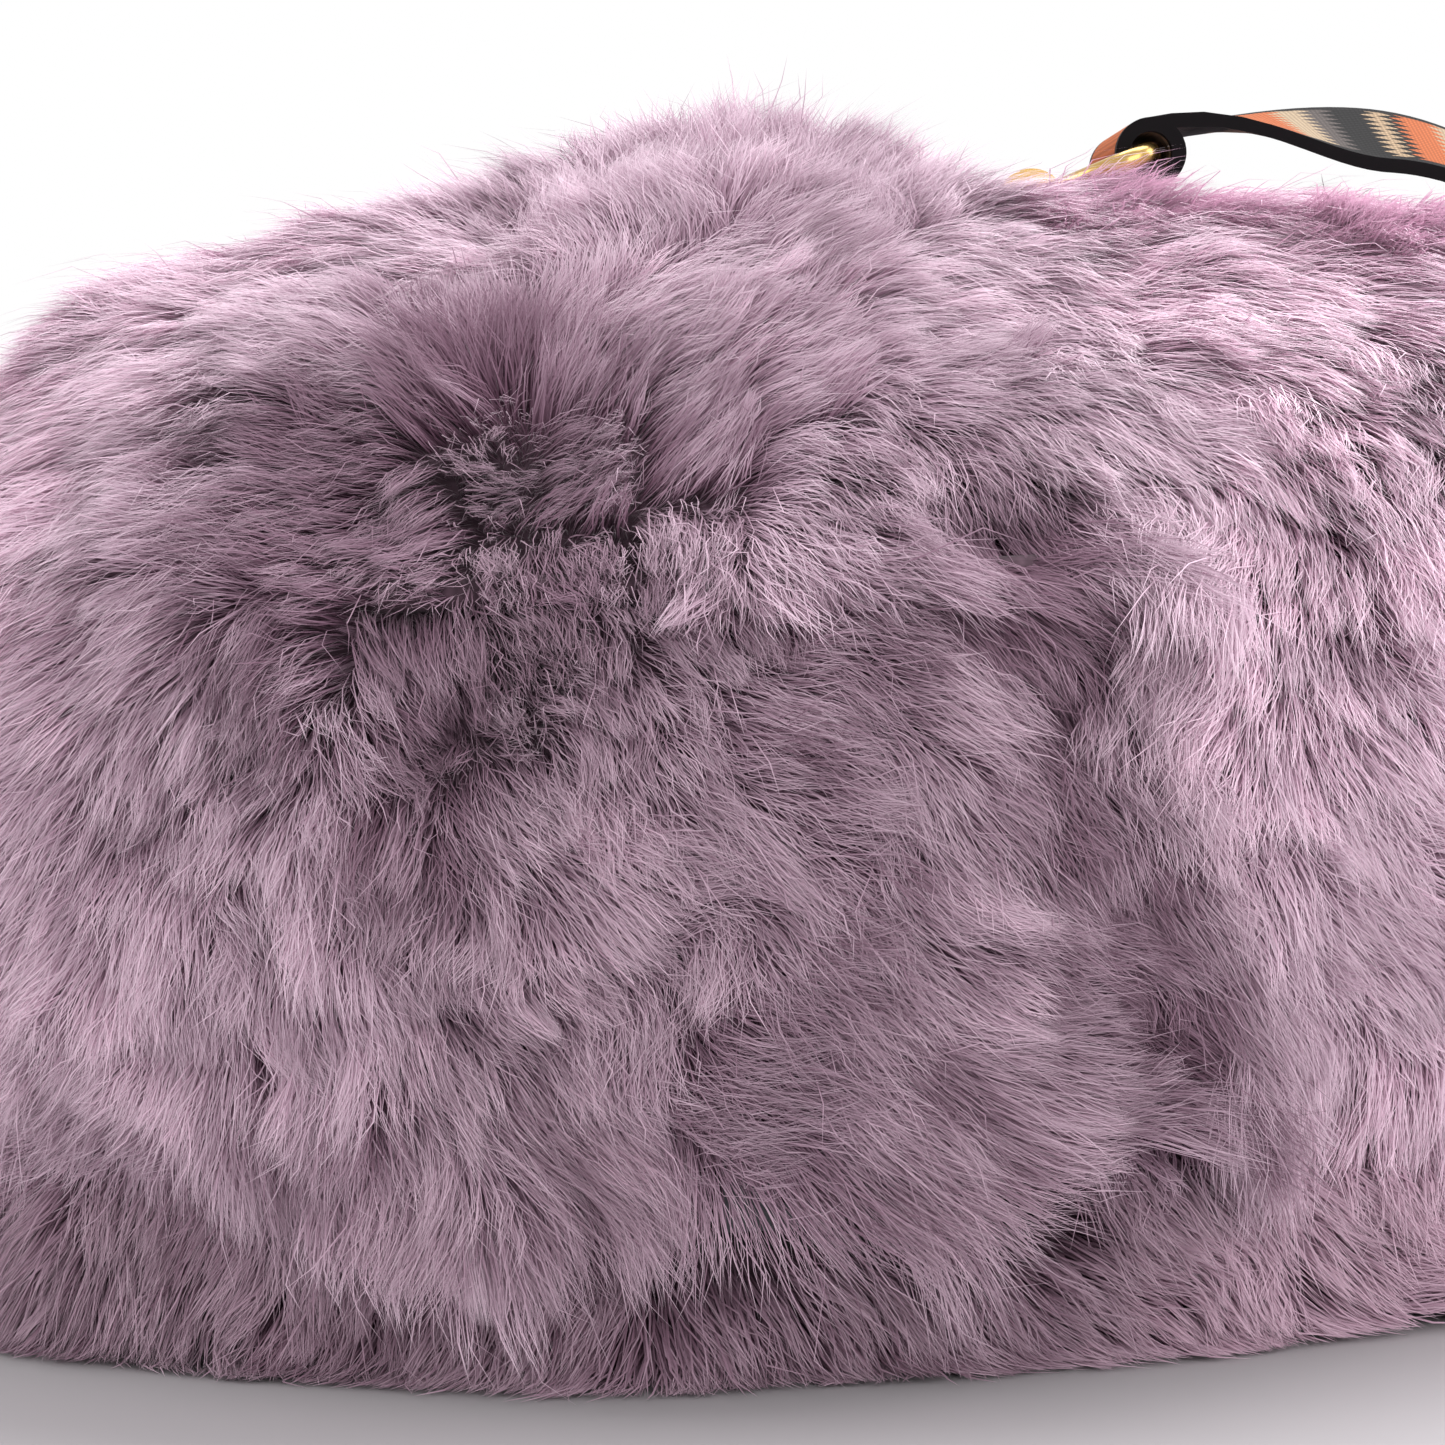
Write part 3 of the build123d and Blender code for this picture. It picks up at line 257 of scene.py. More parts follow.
def near_flap(points, reach):
    """1 at the flap's edge, falling to 0 that far outside it."""
    x, y, z = points.T
    out_x = np.maximum(np.maximum(FLAP_LOW.x - x, x - FLAP_HIGH.x), 0)
    out_z = np.maximum(z - FLAP_HIGH.z, 0)
    near = np.clip(1 - np.hypot(out_x, out_z) / reach, 0, 1)
    return near * near * (3 - 2 * near) * (y < 0) * (z > FLAP_LOW.z - 4 * MM)


def under_flap(points):
    x, y, z = points.T
    inside = (x > FLAP_LOW.x + MM) & (x < FLAP_HIGH.x - MM)
    return inside & (z < FLAP_HIGH.z - 2 * MM) & (z > FLAP_LOW.z) & (y < 0)


def from_spot(points, x, z):
    """Squared distance from the spot (x, z), in mm, as seen from the front."""
    return (points[:, 0] - x * MM) ** 2 + (points[:, 2] - z * MM) ** 2


# painted light and shade: the paler and darker spots summed for each root, on the front only
def light_and_shade_at(points):
    total = np.zeros(len(points))
    for x, z, radius, amount in LIGHT_AND_SHADE:
        total += amount * np.exp(-from_spot(points, x, z) / (2 * (radius * MM) ** 2))
    return total * (points[:, 1] < 0)


def fold_at(points):
    total = np.zeros(len(points))
    for x, z, radius, rise in FOLDS:
        total += rise * MM * np.exp(-from_spot(points, x, z) / (radius * MM) ** 2)
    return total * (points[:, 1] < 0)


def hollow_at(points):
    share = np.zeros(len(points))
    for x, z, radius, depth in HOLLOWS:
        share = np.maximum(share, depth * np.exp(-from_spot(points, x, z) / (radius * MM) ** 2))
    return share * (points[:, 1] < 0)


def crest_lift(points):
    """The rise of CREST, at its full height near the crest and gone towards the sides and the back."""
    rows = np.array(CREST) * MM
    rise = np.clip((points[:, 2] - 96 * MM) / (26 * MM), 0, 1)
    fade = np.clip((60 * MM - points[:, 1]) / (35 * MM), 0, 1)
    return np.interp(points[:, 0], rows[:, 0], rows[:, 1]) * rise * rise * (3 - 2 * rise) * fade


def tangent_of(normals, dx, dz):
    """The direction along the surface that looks like (dx, dz) from the front."""
    want = np.stack([dx, np.zeros_like(dx), dz], 1)
    return unit(want - (want * normals).sum(1, keepdims=True) * normals)


def guide_arrays(rows, inset):
    rows = np.array(rows, float)
    spots = np.array([on_oval(x, z, inset) for x, z in rows[:, :2]])
    lie = tangent_of(oval_normal(spots, inset), rows[:, 2], rows[:, 3])
    return spots, lie, rows[:, 4:7]


HOOD_GUIDES = guide_arrays(FRONT_LIE, SKIN_IN)
FLAP_GUIDES = guide_arrays(FLAP_LIE, FLAP_SKIN_IN)
PLAIN_WEIGHT = 0.03  # of the plain lie, against 1 for a guide at its own spot


def lie_at(points, normals, guides, spread, base):
    """Direction, lean, length and mess at each point: of the guides near it, or else the plain downward lie."""
    spots, lies, facts = guides
    plain = np.stack([0.35 * points[:, 0] / REACH[0], 0.35 * points[:, 1] / REACH[1],
                      np.full(len(points), -1.0)], 1)
    plain[:, 1] += 0.5 * np.clip((points[:, 1] + 5 * MM) / (20 * MM), 0, 1)
    swirl = field(points, 45 * MM, 31)[:, None] * np.array([[0.5, 0.3, 0.0]])
    plain = plain + swirl
    plain = unit(plain - (plain * normals).sum(1, keepdims=True) * normals)
    way, fact = plain * PLAIN_WEIGHT, np.array([base]) * PLAIN_WEIGHT
    weight = np.full((len(points), 1), PLAIN_WEIGHT)
    for spot, lie, f in zip(spots, lies, facts):
        near = np.exp(-((points - spot) ** 2).sum(1, keepdims=True) / (2 * spread ** 2))
        way = way + near * lie
        fact = fact + near * f
        weight = weight + near
    way = way - (way * normals).sum(1, keepdims=True) * normals
    return unit(way), fact / weight


def turned(way, normals, angle):
    side = np.cross(normals, way)
    return way * np.cos(angle)[:, None] + side * np.sin(angle)[:, None]


def strand_lines(roots, normals, way, lean, length, steps):
    """Points along each strand: it leaves near the normal and bends over into its way."""
    lines = [roots]
    here = roots
    start = 0.25 + 0.55 * lean
    end = 0.35 + 1.35 * lean
    for step in range(steps):
        t = (step + 0.5) / steps
        bend = start + (end - start) * t ** 0.8
        move = normals * np.cos(bend)[:, None] + way * np.sin(bend)[:, None]
        move[:, 2] -= DROOP * t * t
        here = here + unit(move) * (length / steps)[:, None]
        lines.append(here)
    return np.stack(lines, 1)


def gather(lines, roots, centres, centre_lines, pull, power):
    """Pulls strands together towards the strand at the middle of their tuft."""
    tree = KDTree(len(centres))
    for index, c in enumerate(centres):
        tree.insert(c, index)
    tree.balance()
    own = np.array([tree.find(r)[1] for r in roots])
    t = np.linspace(0, 1, lines.shape[1]) ** power
    hold = 1 - pull[own][:, None] * t[None, :]
    target = centre_lines[own]
    return target + (lines - target) * hold[:, :, None], own


LOCK_APART, TUFT_APART = 8 * MM, 2.8 * MM  # between the middles of locks, and of the tufts in them
STRAYS = .035  # share of hairs that are longer and stay out of the tufts
DROOP = 0.35  # how much its own weight bends a hair


def make_fur(roots, normals, guides, spread, base, full, rng, density, inset=SKIN_IN, length_share=None,
             steps=4, locks=()):
    """Lines and shades of every strand over those roots, full being the pile's full length; the shades hold
    random tone with painted light and shade.
    """

    def lines_for(points, norms, share, noise_turn, random_turn, generator):
        way, fact = lie_at(points, norms, guides, spread, base)
        lean, size, mess = fact.T
        turn = (noise_turn * field(points, 16 * MM, 3) + noise_turn * field(points, 6 * MM, 4)
                + 0.8 * noise_turn * field(points, 2.6 * MM, 9)
                + generator.normal(0, 1, len(points)) * random_turn * (0.5 + 1.6 * mess))
        way = turned(way, norms, turn)
        lean = 0.84 * lean + 0.13 * field(points, 9 * MM, 5) + generator.normal(0, .09, len(points))
        lean = np.clip(lean, 0.05, 0.97)
        hollow = hollow_at(points)
        length = full * size * (1 + 0.16 * field(points, 14 * MM, 6)) * (1 - 0.75 * hollow) * share
        return strand_lines(points, norms, way, lean, length, steps), mess, hollow, length, lean

    share = np.ones(len(roots)) if length_share is None else length_share
    stray = rng.random(len(roots)) < STRAYS
    own_share = share * rng.uniform(0.6, 1.1, len(roots)) * (1 + .3 * stray)
    lines, mess, hollow, length, _ = lines_for(roots, normals, own_share, .4, .26, rng)

    def centres_of(spacing, seed):
        """Strands at the middles of locks or tufts, about spacing apart."""
        pick = np.random.default_rng(SEED + seed)
        area = len(roots) / density  # m2 covered
        count = min(max(int(area / spacing ** 2), 8), len(roots))
        chosen = pick.choice(len(roots), count, replace=False)
        points, norms = roots[chosen], normals[chosen]
        made, _, _, _, lean = lines_for(points, norms, share[chosen], .45, .42, pick)
        return points, made, lean, pick

    c_points, c_lines, _, pick = centres_of(LOCK_APART, 101)
    pull = pick.uniform(.1, .42, len(c_points))
    lines, lock_id = gather(lines, roots, c_points, c_lines, pull, 1.5)
    c2_points, c2_lines, lean2, pick2 = centres_of(TUFT_APART, 202)
    c2_lines, _ = gather(c2_lines, c2_points, c_points, c_lines, pull, 1.5)
    pull2 = pick2.uniform(.25, .7, len(c2_points)) + .25 * np.clip((.42 - lean2) / .25, 0, 1)
    free = (rng.random(len(roots)) < 0.26 + 0.3 * mess) | stray
    gathered, tuft_id = gather(lines, roots, c2_points, c2_lines, pull2, 1.1)
    lines = np.where(free[:, None, None], lines, gathered)

    t = np.linspace(0, 1, lines.shape[1])
    in_lock = np.zeros(len(roots))
    for x, z, tip_x, tip_z, radius, hold in locks:
        start, end = on_oval(x, z, inset), on_oval(tip_x, max(tip_z, 26), -3.0 * MM)
        end[2] = tip_z * MM  # a tip below 26 mm hangs straight down from there
        far = np.linalg.norm(roots - start, axis=1) / (radius * MM)
        held = np.clip(1.25 - far, 0, 1) * hold
        if held.any():
            in_lock = np.maximum(in_lock, held)
            bulge = oval_normal(start[None, :], inset)[0] * (8 * MM if tip_z < 20 else 5 * MM)
            middle = start + np.outer(t, end - start) + np.outer(np.sin(np.pi * t), bulge)
            lines = lines + (middle[None] - lines) * (held[:, None] * t[None, :] ** 1.2)[:, :, None]

    # every strand has its own slight wave, less of it where the hair is short
    axis = unit(np.cross(unit(rng.normal(0, 1, (len(roots), 3))), normals))
    turns = t[None, :] * rng.uniform(.6, 1.5, len(roots))[:, None] + rng.random(len(roots))[:, None]
    amount = (0.75 + 1.0 * mess + 0.4 * free + 1.2 * stray) * MM * np.clip(length / (13 * MM), 0, 1) ** 1.6
    lines = lines + axis[:, None, :] * (np.sin(2 * np.pi * turns) * t[None, :] * amount[:, None])[:, :, None]

    fold = fold_at(roots)[:, None] * np.linspace(.7, 1.0, lines.shape[1])[None, :]
    lines = lines + normals[:, None, :] * fold[:, :, None]

    # shade: random tone for each tuft, lock and strand, with painted shade in the hollows, the painted light and
    # shade of the paler and darker spots, and a painted highlight on the held strands of locks and the tuft
    tuft_shade = pick2.normal(0, .13, len(c2_points))[tuft_id] + pick.normal(0, .09, len(c_points))[lock_id]
    shade = (.5 + tuft_shade + rng.normal(0, .085, len(roots)) - .35 * hollow + .08 * field(roots, 20 * MM, 8)
             + .07 * field(roots, 4.5 * MM, 12) + light_and_shade_at(roots) + .26 * in_lock)
    return lines, np.clip(shade, .02, .98)


FACE_TILT = 0.35  # how far a ribbon's own turn takes it from facing outward
UV_EDGE = 0.01  # margin that the strand's UV map keeps inside its square
UV_HALF = 0.004  # half the ribbon's width in that map


def ribbons(name, lines, normals, shade, widths, rng, material):
    """A mesh of one thin ribbon for each strand, facing about outward and narrowing to a point."""
    count, points, _ = lines.shape
    along = unit(np.gradient(lines, axis=1))
    face = normals[:, None, :] + FACE_TILT * unit(rng.normal(0, 1, (count, 1, 3)))
    side = unit(np.cross(along, np.broadcast_to(face, along.shape)))
    t = np.linspace(0, 1, points)
    taper = np.sqrt(np.clip(1 - t ** 3, 0, 1))[None, :] * (0.75 + 0.25 * np.minimum(t * 4, 1))
    half = widths[:, None] * 0.5 * taper
    left = lines - side * half[:, :, None]
    right = lines + side * half[:, :, None]
    body = np.stack([left[:, :-1], right[:, :-1]], 2).reshape(count, -1, 3)
    co = np.concatenate([body, lines[:, -1:]], 1)
    per = co.shape[1]
    steps = points - 1
    base = (np.arange(count) * per)[:, None]
    quads = np.array([[2 * k, 2 * k + 1, 2 * k + 3, 2 * k + 2] for k in range(steps - 1)])
    corner_list = np.concatenate([quads.reshape(-1), [2 * steps - 2, 2 * steps - 1, 2 * steps]])
    corners = (base + corner_list[None, :]).reshape(-1)
    sizes = np.tile(np.array([4] * (steps - 1) + [3]), count)
    mesh = bpy.data.meshes.new(name)
    mesh.vertices.add(count * per)
    mesh.vertices.foreach_set("co", co.reshape(-1).astype(np.float32))
    mesh.loops.add(len(corners))
    mesh.loops.foreach_set("vertex_index", corners.astype(np.int32))
    mesh.polygons.add(len(sizes))
    mesh.polygons.foreach_set("loop_start", np.concatenate([[0], np.cumsum(sizes)[:-1]]).astype(np.int32))
    mesh.polygons.foreach_set("use_smooth", np.ones(len(sizes), bool))
    # u is the strand's shade, its random tone with painted light and shade, v runs from root to tip
    u_of = np.array([-1, 1] * steps + [0]) * UV_HALF
    v_of = np.concatenate([np.repeat(t[:-1], 2), [1.0]])
    u = (UV_EDGE + (1 - 2 * UV_EDGE) * shade)[:, None] + u_of[None, corner_list]
    v = np.broadcast_to(UV_EDGE + (1 - 2 * UV_EDGE) * v_of[corner_list], u.shape)
    uv = np.stack([u, v], 2).reshape(-1).astype(np.float32)
    for layer in ("Strand", "OFBake"):
        mesh.uv_layers.new(name=layer).data.foreach_set("uv", uv)
    mesh.update()
    mesh.materials.append(material)
    return add_object(name, mesh)


def by_x(name, cuts, roots, lines, normals, shade, widths, rng, material):
    """A fur piece for each part between neighbouring cuts, in mm along x."""
    for number, (low_x, high_x) in enumerate(zip(cuts, cuts[1:])):
        part = (roots[:, 0] >= low_x * MM) & (roots[:, 0] < high_x * MM)
        yield ribbons(f"{name}_{number + 1}", lines[part], normals[part], shade[part], widths[part], rng,
                      material)


TABLE_SOFT, TABLE_LINE = 3 * MM, 0.4 * MM  # hairs start to bend at the first height, and stop at the second


def off_the_table(lines):
    """Strands that would reach the table bend over just above it."""
    z = lines[:, :, 2]
    bent = TABLE_LINE + (TABLE_SOFT - TABLE_LINE) * np.exp(np.minimum(z - TABLE_SOFT, 0) / TABLE_SOFT)
    lines[:, :, 2] = np.where(z < TABLE_SOFT, bent, z)


def oval_roots(count_per_m2, inset, rng, keep_where):
    """Evenly scattered points of the oval at that inset, where keep_where says so."""
    axes = REACH - inset
    a, b, c = axes
    area = 4 * np.pi * (((a * b) ** 1.6 + (a * c) ** 1.6 + (b * c) ** 1.6) / 3) ** (1 / 1.6)  # of an ellipsoid
    tries = int(area * count_per_m2 * 3.2)  # more than is wanted, for the thinning below
    ball = unit(rng.normal(0, 1, (tries, 3)))
    stretch = np.sqrt((b * c * ball[:, 0]) ** 2 + (a * c * ball[:, 1]) ** 2 + (a * b * ball[:, 2]) ** 2)
    ball = ball[rng.random(tries) < stretch / (a * b)]
    points = ball[:int(area * count_per_m2)] * axes + MIDDLE
    points = points[keep_where(points)]
    return points, oval_normal(points, inset)


# ---- materials
def new_material(name):
    material = bpy.data.materials.new(name)
    material.use_nodes = True
    return material, material.node_tree, material.node_tree.nodes["Principled BSDF"]


def srgb(r, g, b):
    return tuple(((c / 255 + 0.055) / 1.055) ** 2.4 if c > 10 else c / 255 / 12.92 for c in (r, g, b)) + (1.0,)


def put(node, values):
    """Writes constants to the node's own sockets."""
    for name, value in values.items():
        node.inputs[name].default_value = value


def ramp(tree, value, stops, steps=False):
    """The colours of the stops over a value, blended, or in plain steps."""
    node = tree.nodes.new("ShaderNodeValToRGB")
    while len(node.color_ramp.elements) < len(stops):
        node.color_ramp.elements.new(0.5)
    for element, (place, colour) in zip(node.color_ramp.elements, stops):
        element.position = place
        element.color = colour
    if steps:
        node.color_ramp.interpolation = "CONSTANT"
    tree.links.new(value, node.inputs[0])
    return node.outputs[0]


def feed(tree, socket, value):
    """Links a node's output to the socket, or writes a constant there."""
    if hasattr(value, "is_linked"):
        tree.links.new(value, socket)
    else:
        socket.default_value = value


def mix(tree, kind, amount, a, b):
    node = tree.nodes.new("ShaderNodeMix")
    node.data_type = "RGBA"
    node.blend_type = kind
    for value, index in ((amount, 0), (a, 6), (b, 7)):
        feed(tree, node.inputs[index], value)
    return node.outputs[2]


def maths(tree, kind, a, b=None):
    node = tree.nodes.new("ShaderNodeMath")
    node.operation = kind
    feed(tree, node.inputs[0], a)
    if b is not None:
        feed(tree, node.inputs[1], b)
    return node.outputs[0]


def map_range(tree, value, low, high):
    node = tree.nodes.new("ShaderNodeMapRange")
    put(node, {"To Min": low, "To Max": high})
    tree.links.new(value, node.inputs["Value"])
    return node.outputs[0]


def uv_parts(tree, layer):
    """The u and v of the named UV layer."""
    uv = tree.nodes.new("ShaderNodeUVMap")
    uv.uv_map = layer
    split = tree.nodes.new("ShaderNodeSeparateXYZ")
    tree.links.new(uv.outputs[0], split.inputs[0])
    return split.outputs[0], split.outputs[1]


def fur_material(name, root, low, mid, tip):
    """Colours from the root to the tip, times each hair's shade, which holds random tone and painted light and
    shade.
    """
    material, tree, shader = new_material(name)
    u, v = uv_parts(tree, "Strand")
    along = ramp(tree, v, [(0.0, srgb(*root)), (0.25, srgb(*low)), (0.6, srgb(*mid)), (1.0, srgb(*tip))])
    own = ramp(tree, u, [(0.0, (.38, .29, .34, 1)), (0.35, (.75, .70, .73, 1)),
                                 (0.65, (.95, .95, .95, 1)), (1.0, (1.22, 1.2, 1.2, 1))])
    tree.links.new(mix(tree, "MULTIPLY", 1.0, along, own), shader.inputs["Base Color"])
    put(shader, {"Roughness": 0.62, "Specular IOR Level": 0.28, "Sheen Weight": 0.25, "Sheen Roughness": 0.45})
    return material


HOOD_FUR = fur_material("fur_lilac", (132, 90, 114), (172, 135, 157), (209, 177, 196), (237, 214, 228))
# the flap's fur is the hood's lilac painted slightly darker: painted shade on the lower front
FLAP_FUR = fur_material("fur_flap_lilac_shaded", (120, 83, 104), (160, 127, 147), (197, 166, 184), (226, 202, 216))
# the band's fur is the same fur painted much darker: painted shade low under the hood's overhang
BAND_FUR = fur_material("fur_band_plum_shaded", (84, 55, 71), (131, 99, 117), (178, 146, 164), (210, 183, 198))


def grain(tree, scale, detail, stretch=None):
    """Noise over the object's own space, drawn out along its axes by stretch."""
    where = tree.nodes.new("ShaderNodeTexCoord").outputs["Object"]
    if stretch:
        place = tree.nodes.new("ShaderNodeMapping")
        put(place, {"Scale": stretch})
        tree.links.new(where, place.inputs[0])
        where = place.outputs[0]
    noise = tree.nodes.new("ShaderNodeTexNoise")
    put(noise, {"Scale": scale, "Detail": detail})
    tree.links.new(where, noise.inputs["Vector"])
    return noise.outputs[0]


def shaded(colour, factor, lift=0.0):
    """The colour, darker or paler by the factor."""
    return tuple(min(c * factor + lift, 1) for c in colour[:3]) + (1,)


def bump(tree, shader, height, strength, distance):
    node = tree.nodes.new("ShaderNodeBump")
    put(node, {"Strength": strength, "Distance": distance})
    tree.links.new(height, node.inputs["Height"])
    tree.links.new(node.outputs[0], shader.inputs["Normal"])


def moulded(name, colour, rough=0.5, fine=2600.0, wear=0.18):
    """Moulded plastic: fine spark-eroded grain, faint uneven gloss, slightly paler where handled."""
    material, tree, shader = new_material(name)
    skin = grain(tree, fine, 2.0)
    patches = grain(tree, 55.0, 5.0)
    tone = ramp(tree, patches, [(0.35, shaded(colour, 1 - wear)), (0.7, shaded(colour, 1 + wear, .006))])
    tree.links.new(tone, shader.inputs["Base Color"])
    tree.links.new(map_range(tree, patches, rough - 0.08, rough + 0.1), shader.inputs["Roughness"])
    bump(tree, shader, skin, 0.25, 0.00006)
    return material


def metal(name, colour, rough, stretch, scale, scratch=0.25):
    """Metal with drawing or turning marks and slightly uneven tarnish."""
    material, tree, shader = new_material(name)
    lines = grain(tree, scale, 3.0, stretch)
    patches = grain(tree, 120.0, 4.0)
    tone = ramp(tree, patches, [(0.3, shaded(colour, .78)), (0.75, colour)])
    tree.links.new(tone, shader.inputs["Base Color"])
    gloss = map_range(tree, lines, max(rough - 0.06, 0.05), rough + 0.12)
    tree.links.new(gloss, shader.inputs["Roughness"])
    put(shader, {"Metallic": 1.0})
    bump(tree, shader, lines, scratch, 0.00004)
    return material


def woven(name, dark, pale, pitch, height=0.00018):
    """Knitted or woven cloth: small raised loops at the given pitch, in metres, with painted shade in the gaps
    between them.
    """
    material, tree, shader = new_material(name)
    where = tree.nodes.new("ShaderNodeTexCoord")
    loops = tree.nodes.new("ShaderNodeTexVoronoi")
    loops.feature = "SMOOTH_F1"
    put(loops, {"Scale": 1 / pitch, "Randomness": 0.55})
    tree.links.new(where.outputs["Object"], loops.inputs["Vector"])
    far = loops.outputs["Distance"]
    # paler on the loops, darker away from their middles: painted shade in the gaps
    tone = ramp(tree, far, [(0.15, pale), (0.62, dark)])
    fuzz = grain(tree, 400.0, 4.0)
    shade = ramp(tree, fuzz, [(0.3, (.78, .78, .78, 1)), (0.7, (1, 1, 1, 1))])
    tree.links.new(mix(tree, "MULTIPLY", 1.0, tone, shade), shader.inputs["Base Color"])
    put(shader, {"Roughness": 0.85, "Sheen Weight": 0.15})
    bump(tree, shader, maths(tree, "SUBTRACT", 1.0, far), 0.5, height)
    return material


MATERIALS = {
    "mesh": woven("gauze_black", srgb(20, 20, 22), srgb(38, 38, 41), 0.0009),
    "frame": moulded("nylon_basket", srgb(30, 30, 33), 0.48),
    "tray": moulded("nylon_tray", srgb(27, 27, 30), 0.55),
    "latch": moulded("acetal_grey", srgb(88, 88, 94), 0.4, wear=.1),
    "brass": metal("turned_brass", srgb(196, 158, 84), 0.25, (1, 1, 8), 700.0),
    "rubber": moulded("rubber_black", srgb(18, 18, 19), 0.8, fine=1800.0),
    "steel": metal("brushed_steel", srgb(168, 170, 174), 0.32, (12, 1, 1), 500.0),
    "gold": metal("brass_wire", srgb(206, 170, 104), 0.2, (1, 1, 1), 300.0, scratch=.1),
    "hook_tape": woven("hook_tape", srgb(52, 36, 46), srgb(116, 92, 106), 0.0011, height=.0005),
    "loop_tape": woven("loop_tape", srgb(70, 52, 62), srgb(136, 112, 126), 0.0014, height=.0004),
    "rail": metal("anodised_rail", srgb(40, 40, 43), 0.35, (14, 1, 1), 400.0),
    "moulding": moulded("nylon_carriage", srgb(24, 24, 26), 0.5),
    "knob": moulded("knob_black", srgb(34, 34, 37), 0.42),
    "lyre": moulded("lyre_red", srgb(164, 38, 30), 0.38, wear=.1),
    "clip": moulded("nylon_clip", srgb(28, 28, 30), 0.45),
    "fur": None,
    "webbing": woven("welt_plum", srgb(60, 42, 52), srgb(120, 96, 110), 0.0010),
}
SLOT_OF = {entry["node"]: entry["material_slot"] for entry in frame["record"]["subparts"]}
for node, slot_name in SLOT_OF.items():
    finish = MATERIALS[slot_name]
    if finish is not None:
        thing = frame["nodes"][node]
        thing.data.materials.clear()
        thing.data.materials.append(finish)

# ---- backings under the fur
BACKING = woven("fur_backing", srgb(74, 52, 64), srgb(104, 78, 92), 0.0012)
BACKING_DIP = -5 * MM  # the backing follows the crest's dips no further than this
POCKET_HALF, POCKET_TOP = 26 * MM, 41 * MM  # the latch and hinge notches, which keep their width
CREST_DEEP = 14 * MM  # what lies deeper than this stays where it is
BAND_IN = 10.5 * MM  # the band's cloth lies this far inside its pile
WELD = 0.00002  # points nearer to each other than this become one


def oval_push(co, inset):
    """Points nearer the outside than inset are moved in to that depth."""
    d = depth_inside(co)
    out = d < inset
    moved = co.copy()
    scale = (REACH - inset)[None, :] / (REACH[None, :] - d[:, None])
    moved[out] = MIDDLE + (co[out] - MIDDLE) * scale[out]
    pocket = (np.abs(co[:, 0]) < POCKET_HALF) & (co[:, 2] < POCKET_TOP)
    moved[pocket, 0] = co[pocket, 0]
    lift = crest_lift(moved) * (depth_inside(moved) < CREST_DEEP)
    return moved + oval_normal(moved, inset) * np.clip(lift, BACKING_DIP, 0)[:, None]


BAND_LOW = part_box("band_end_left_rear")[0]
BAND_REACH = np.array([-BAND_LOW.x, -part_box("band_front_mid")[0].y])


def band_push(co, thick):
    """The same for the band on the tray, whose walls stand straight."""
    want = BAND_REACH - thick
    size = np.sqrt(((co[:, :2] / want) ** 2).sum(1))
    out = size > 1
    moved = co.copy()
    moved[out, :2] = co[out, :2] / size[out, None]
    return moved


def backing_of(name, nodes, push, amount, body):
    """The fabric that the fur grows from: the CAD solids' own shape with the pile taken off."""
    mesh = bpy.data.meshes.new(name)
    parts_co, parts_faces, base = [], [], 0
    for node in nodes:
        source = frame["nodes"][node].data
        co = np.empty(len(source.vertices) * 3)
        source.vertices.foreach_get("co", co)
        co = push(co.reshape(-1, 3), amount)
        parts_co.append(co)
        parts_faces += [[base + v for v in p.vertices] for p in source.polygons]
        base += len(co)
    mesh.from_pydata(np.concatenate(parts_co).tolist(), [], parts_faces)
    work = bmesh.new()
    work.from_mesh(mesh)
    bmesh.ops.remove_doubles(work, verts=work.verts, dist=WELD)
    bmesh.ops.dissolve_degenerate(work, edges=work.edges, dist=WELD)
    work.to_mesh(mesh)
    work.free()
    mesh.materials.append(BACKING)
    piece = add_object(name, mesh)
    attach(piece, body)
    return piece


hood_backing = backing_of("hood_backing", HOOD_NODES, oval_push, SKIN_IN, "hood")
flap_backing = backing_of("flap_backing", ["fur_flap"], oval_push, FLAP_SKIN_IN, "flap")
band_backing = backing_of("band_backing", BAND_NODES, band_push, BAND_IN, "base")
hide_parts(*HOOD_NODES)
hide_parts("fur_flap")
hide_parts(*BAND_NODES)

# ---- fur on the hood
STRAP_LOW, STRAP_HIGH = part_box("carry_strap")
STRAP_Y = (STRAP_LOW.y + STRAP_HIGH.y) / 2
HINGE_HALF, HINGE_TOP = 59 * MM, 40.5 * MM  # no hair is rooted over the hinge, nor over the latch
LATCH_HALF, LATCH_TOP = 22 * MM, 37 * MM
TOP_RING_X, SIDE_RING_Z = 40 * MM, 84 * MM  # about where the strap's rings lie
UNDER_FLAP = 0.28  # share of its length that hair keeps under the flap
HEM_LONGER = .3  # the hair of the hem hangs over the band


def hood_keep(points):
    """Where the hood's hair is rooted."""
    x, y, z = points.T
    keep = z > HOOD_FOOT + 0.6 * MM
    keep &= ~((np.abs(x) < HINGE_HALF) & (y > 0) & (z < HINGE_TOP))
    keep &= ~((np.abs(x) < LATCH_HALF) & (y < 0) & (z < LATCH_TOP))
    return keep


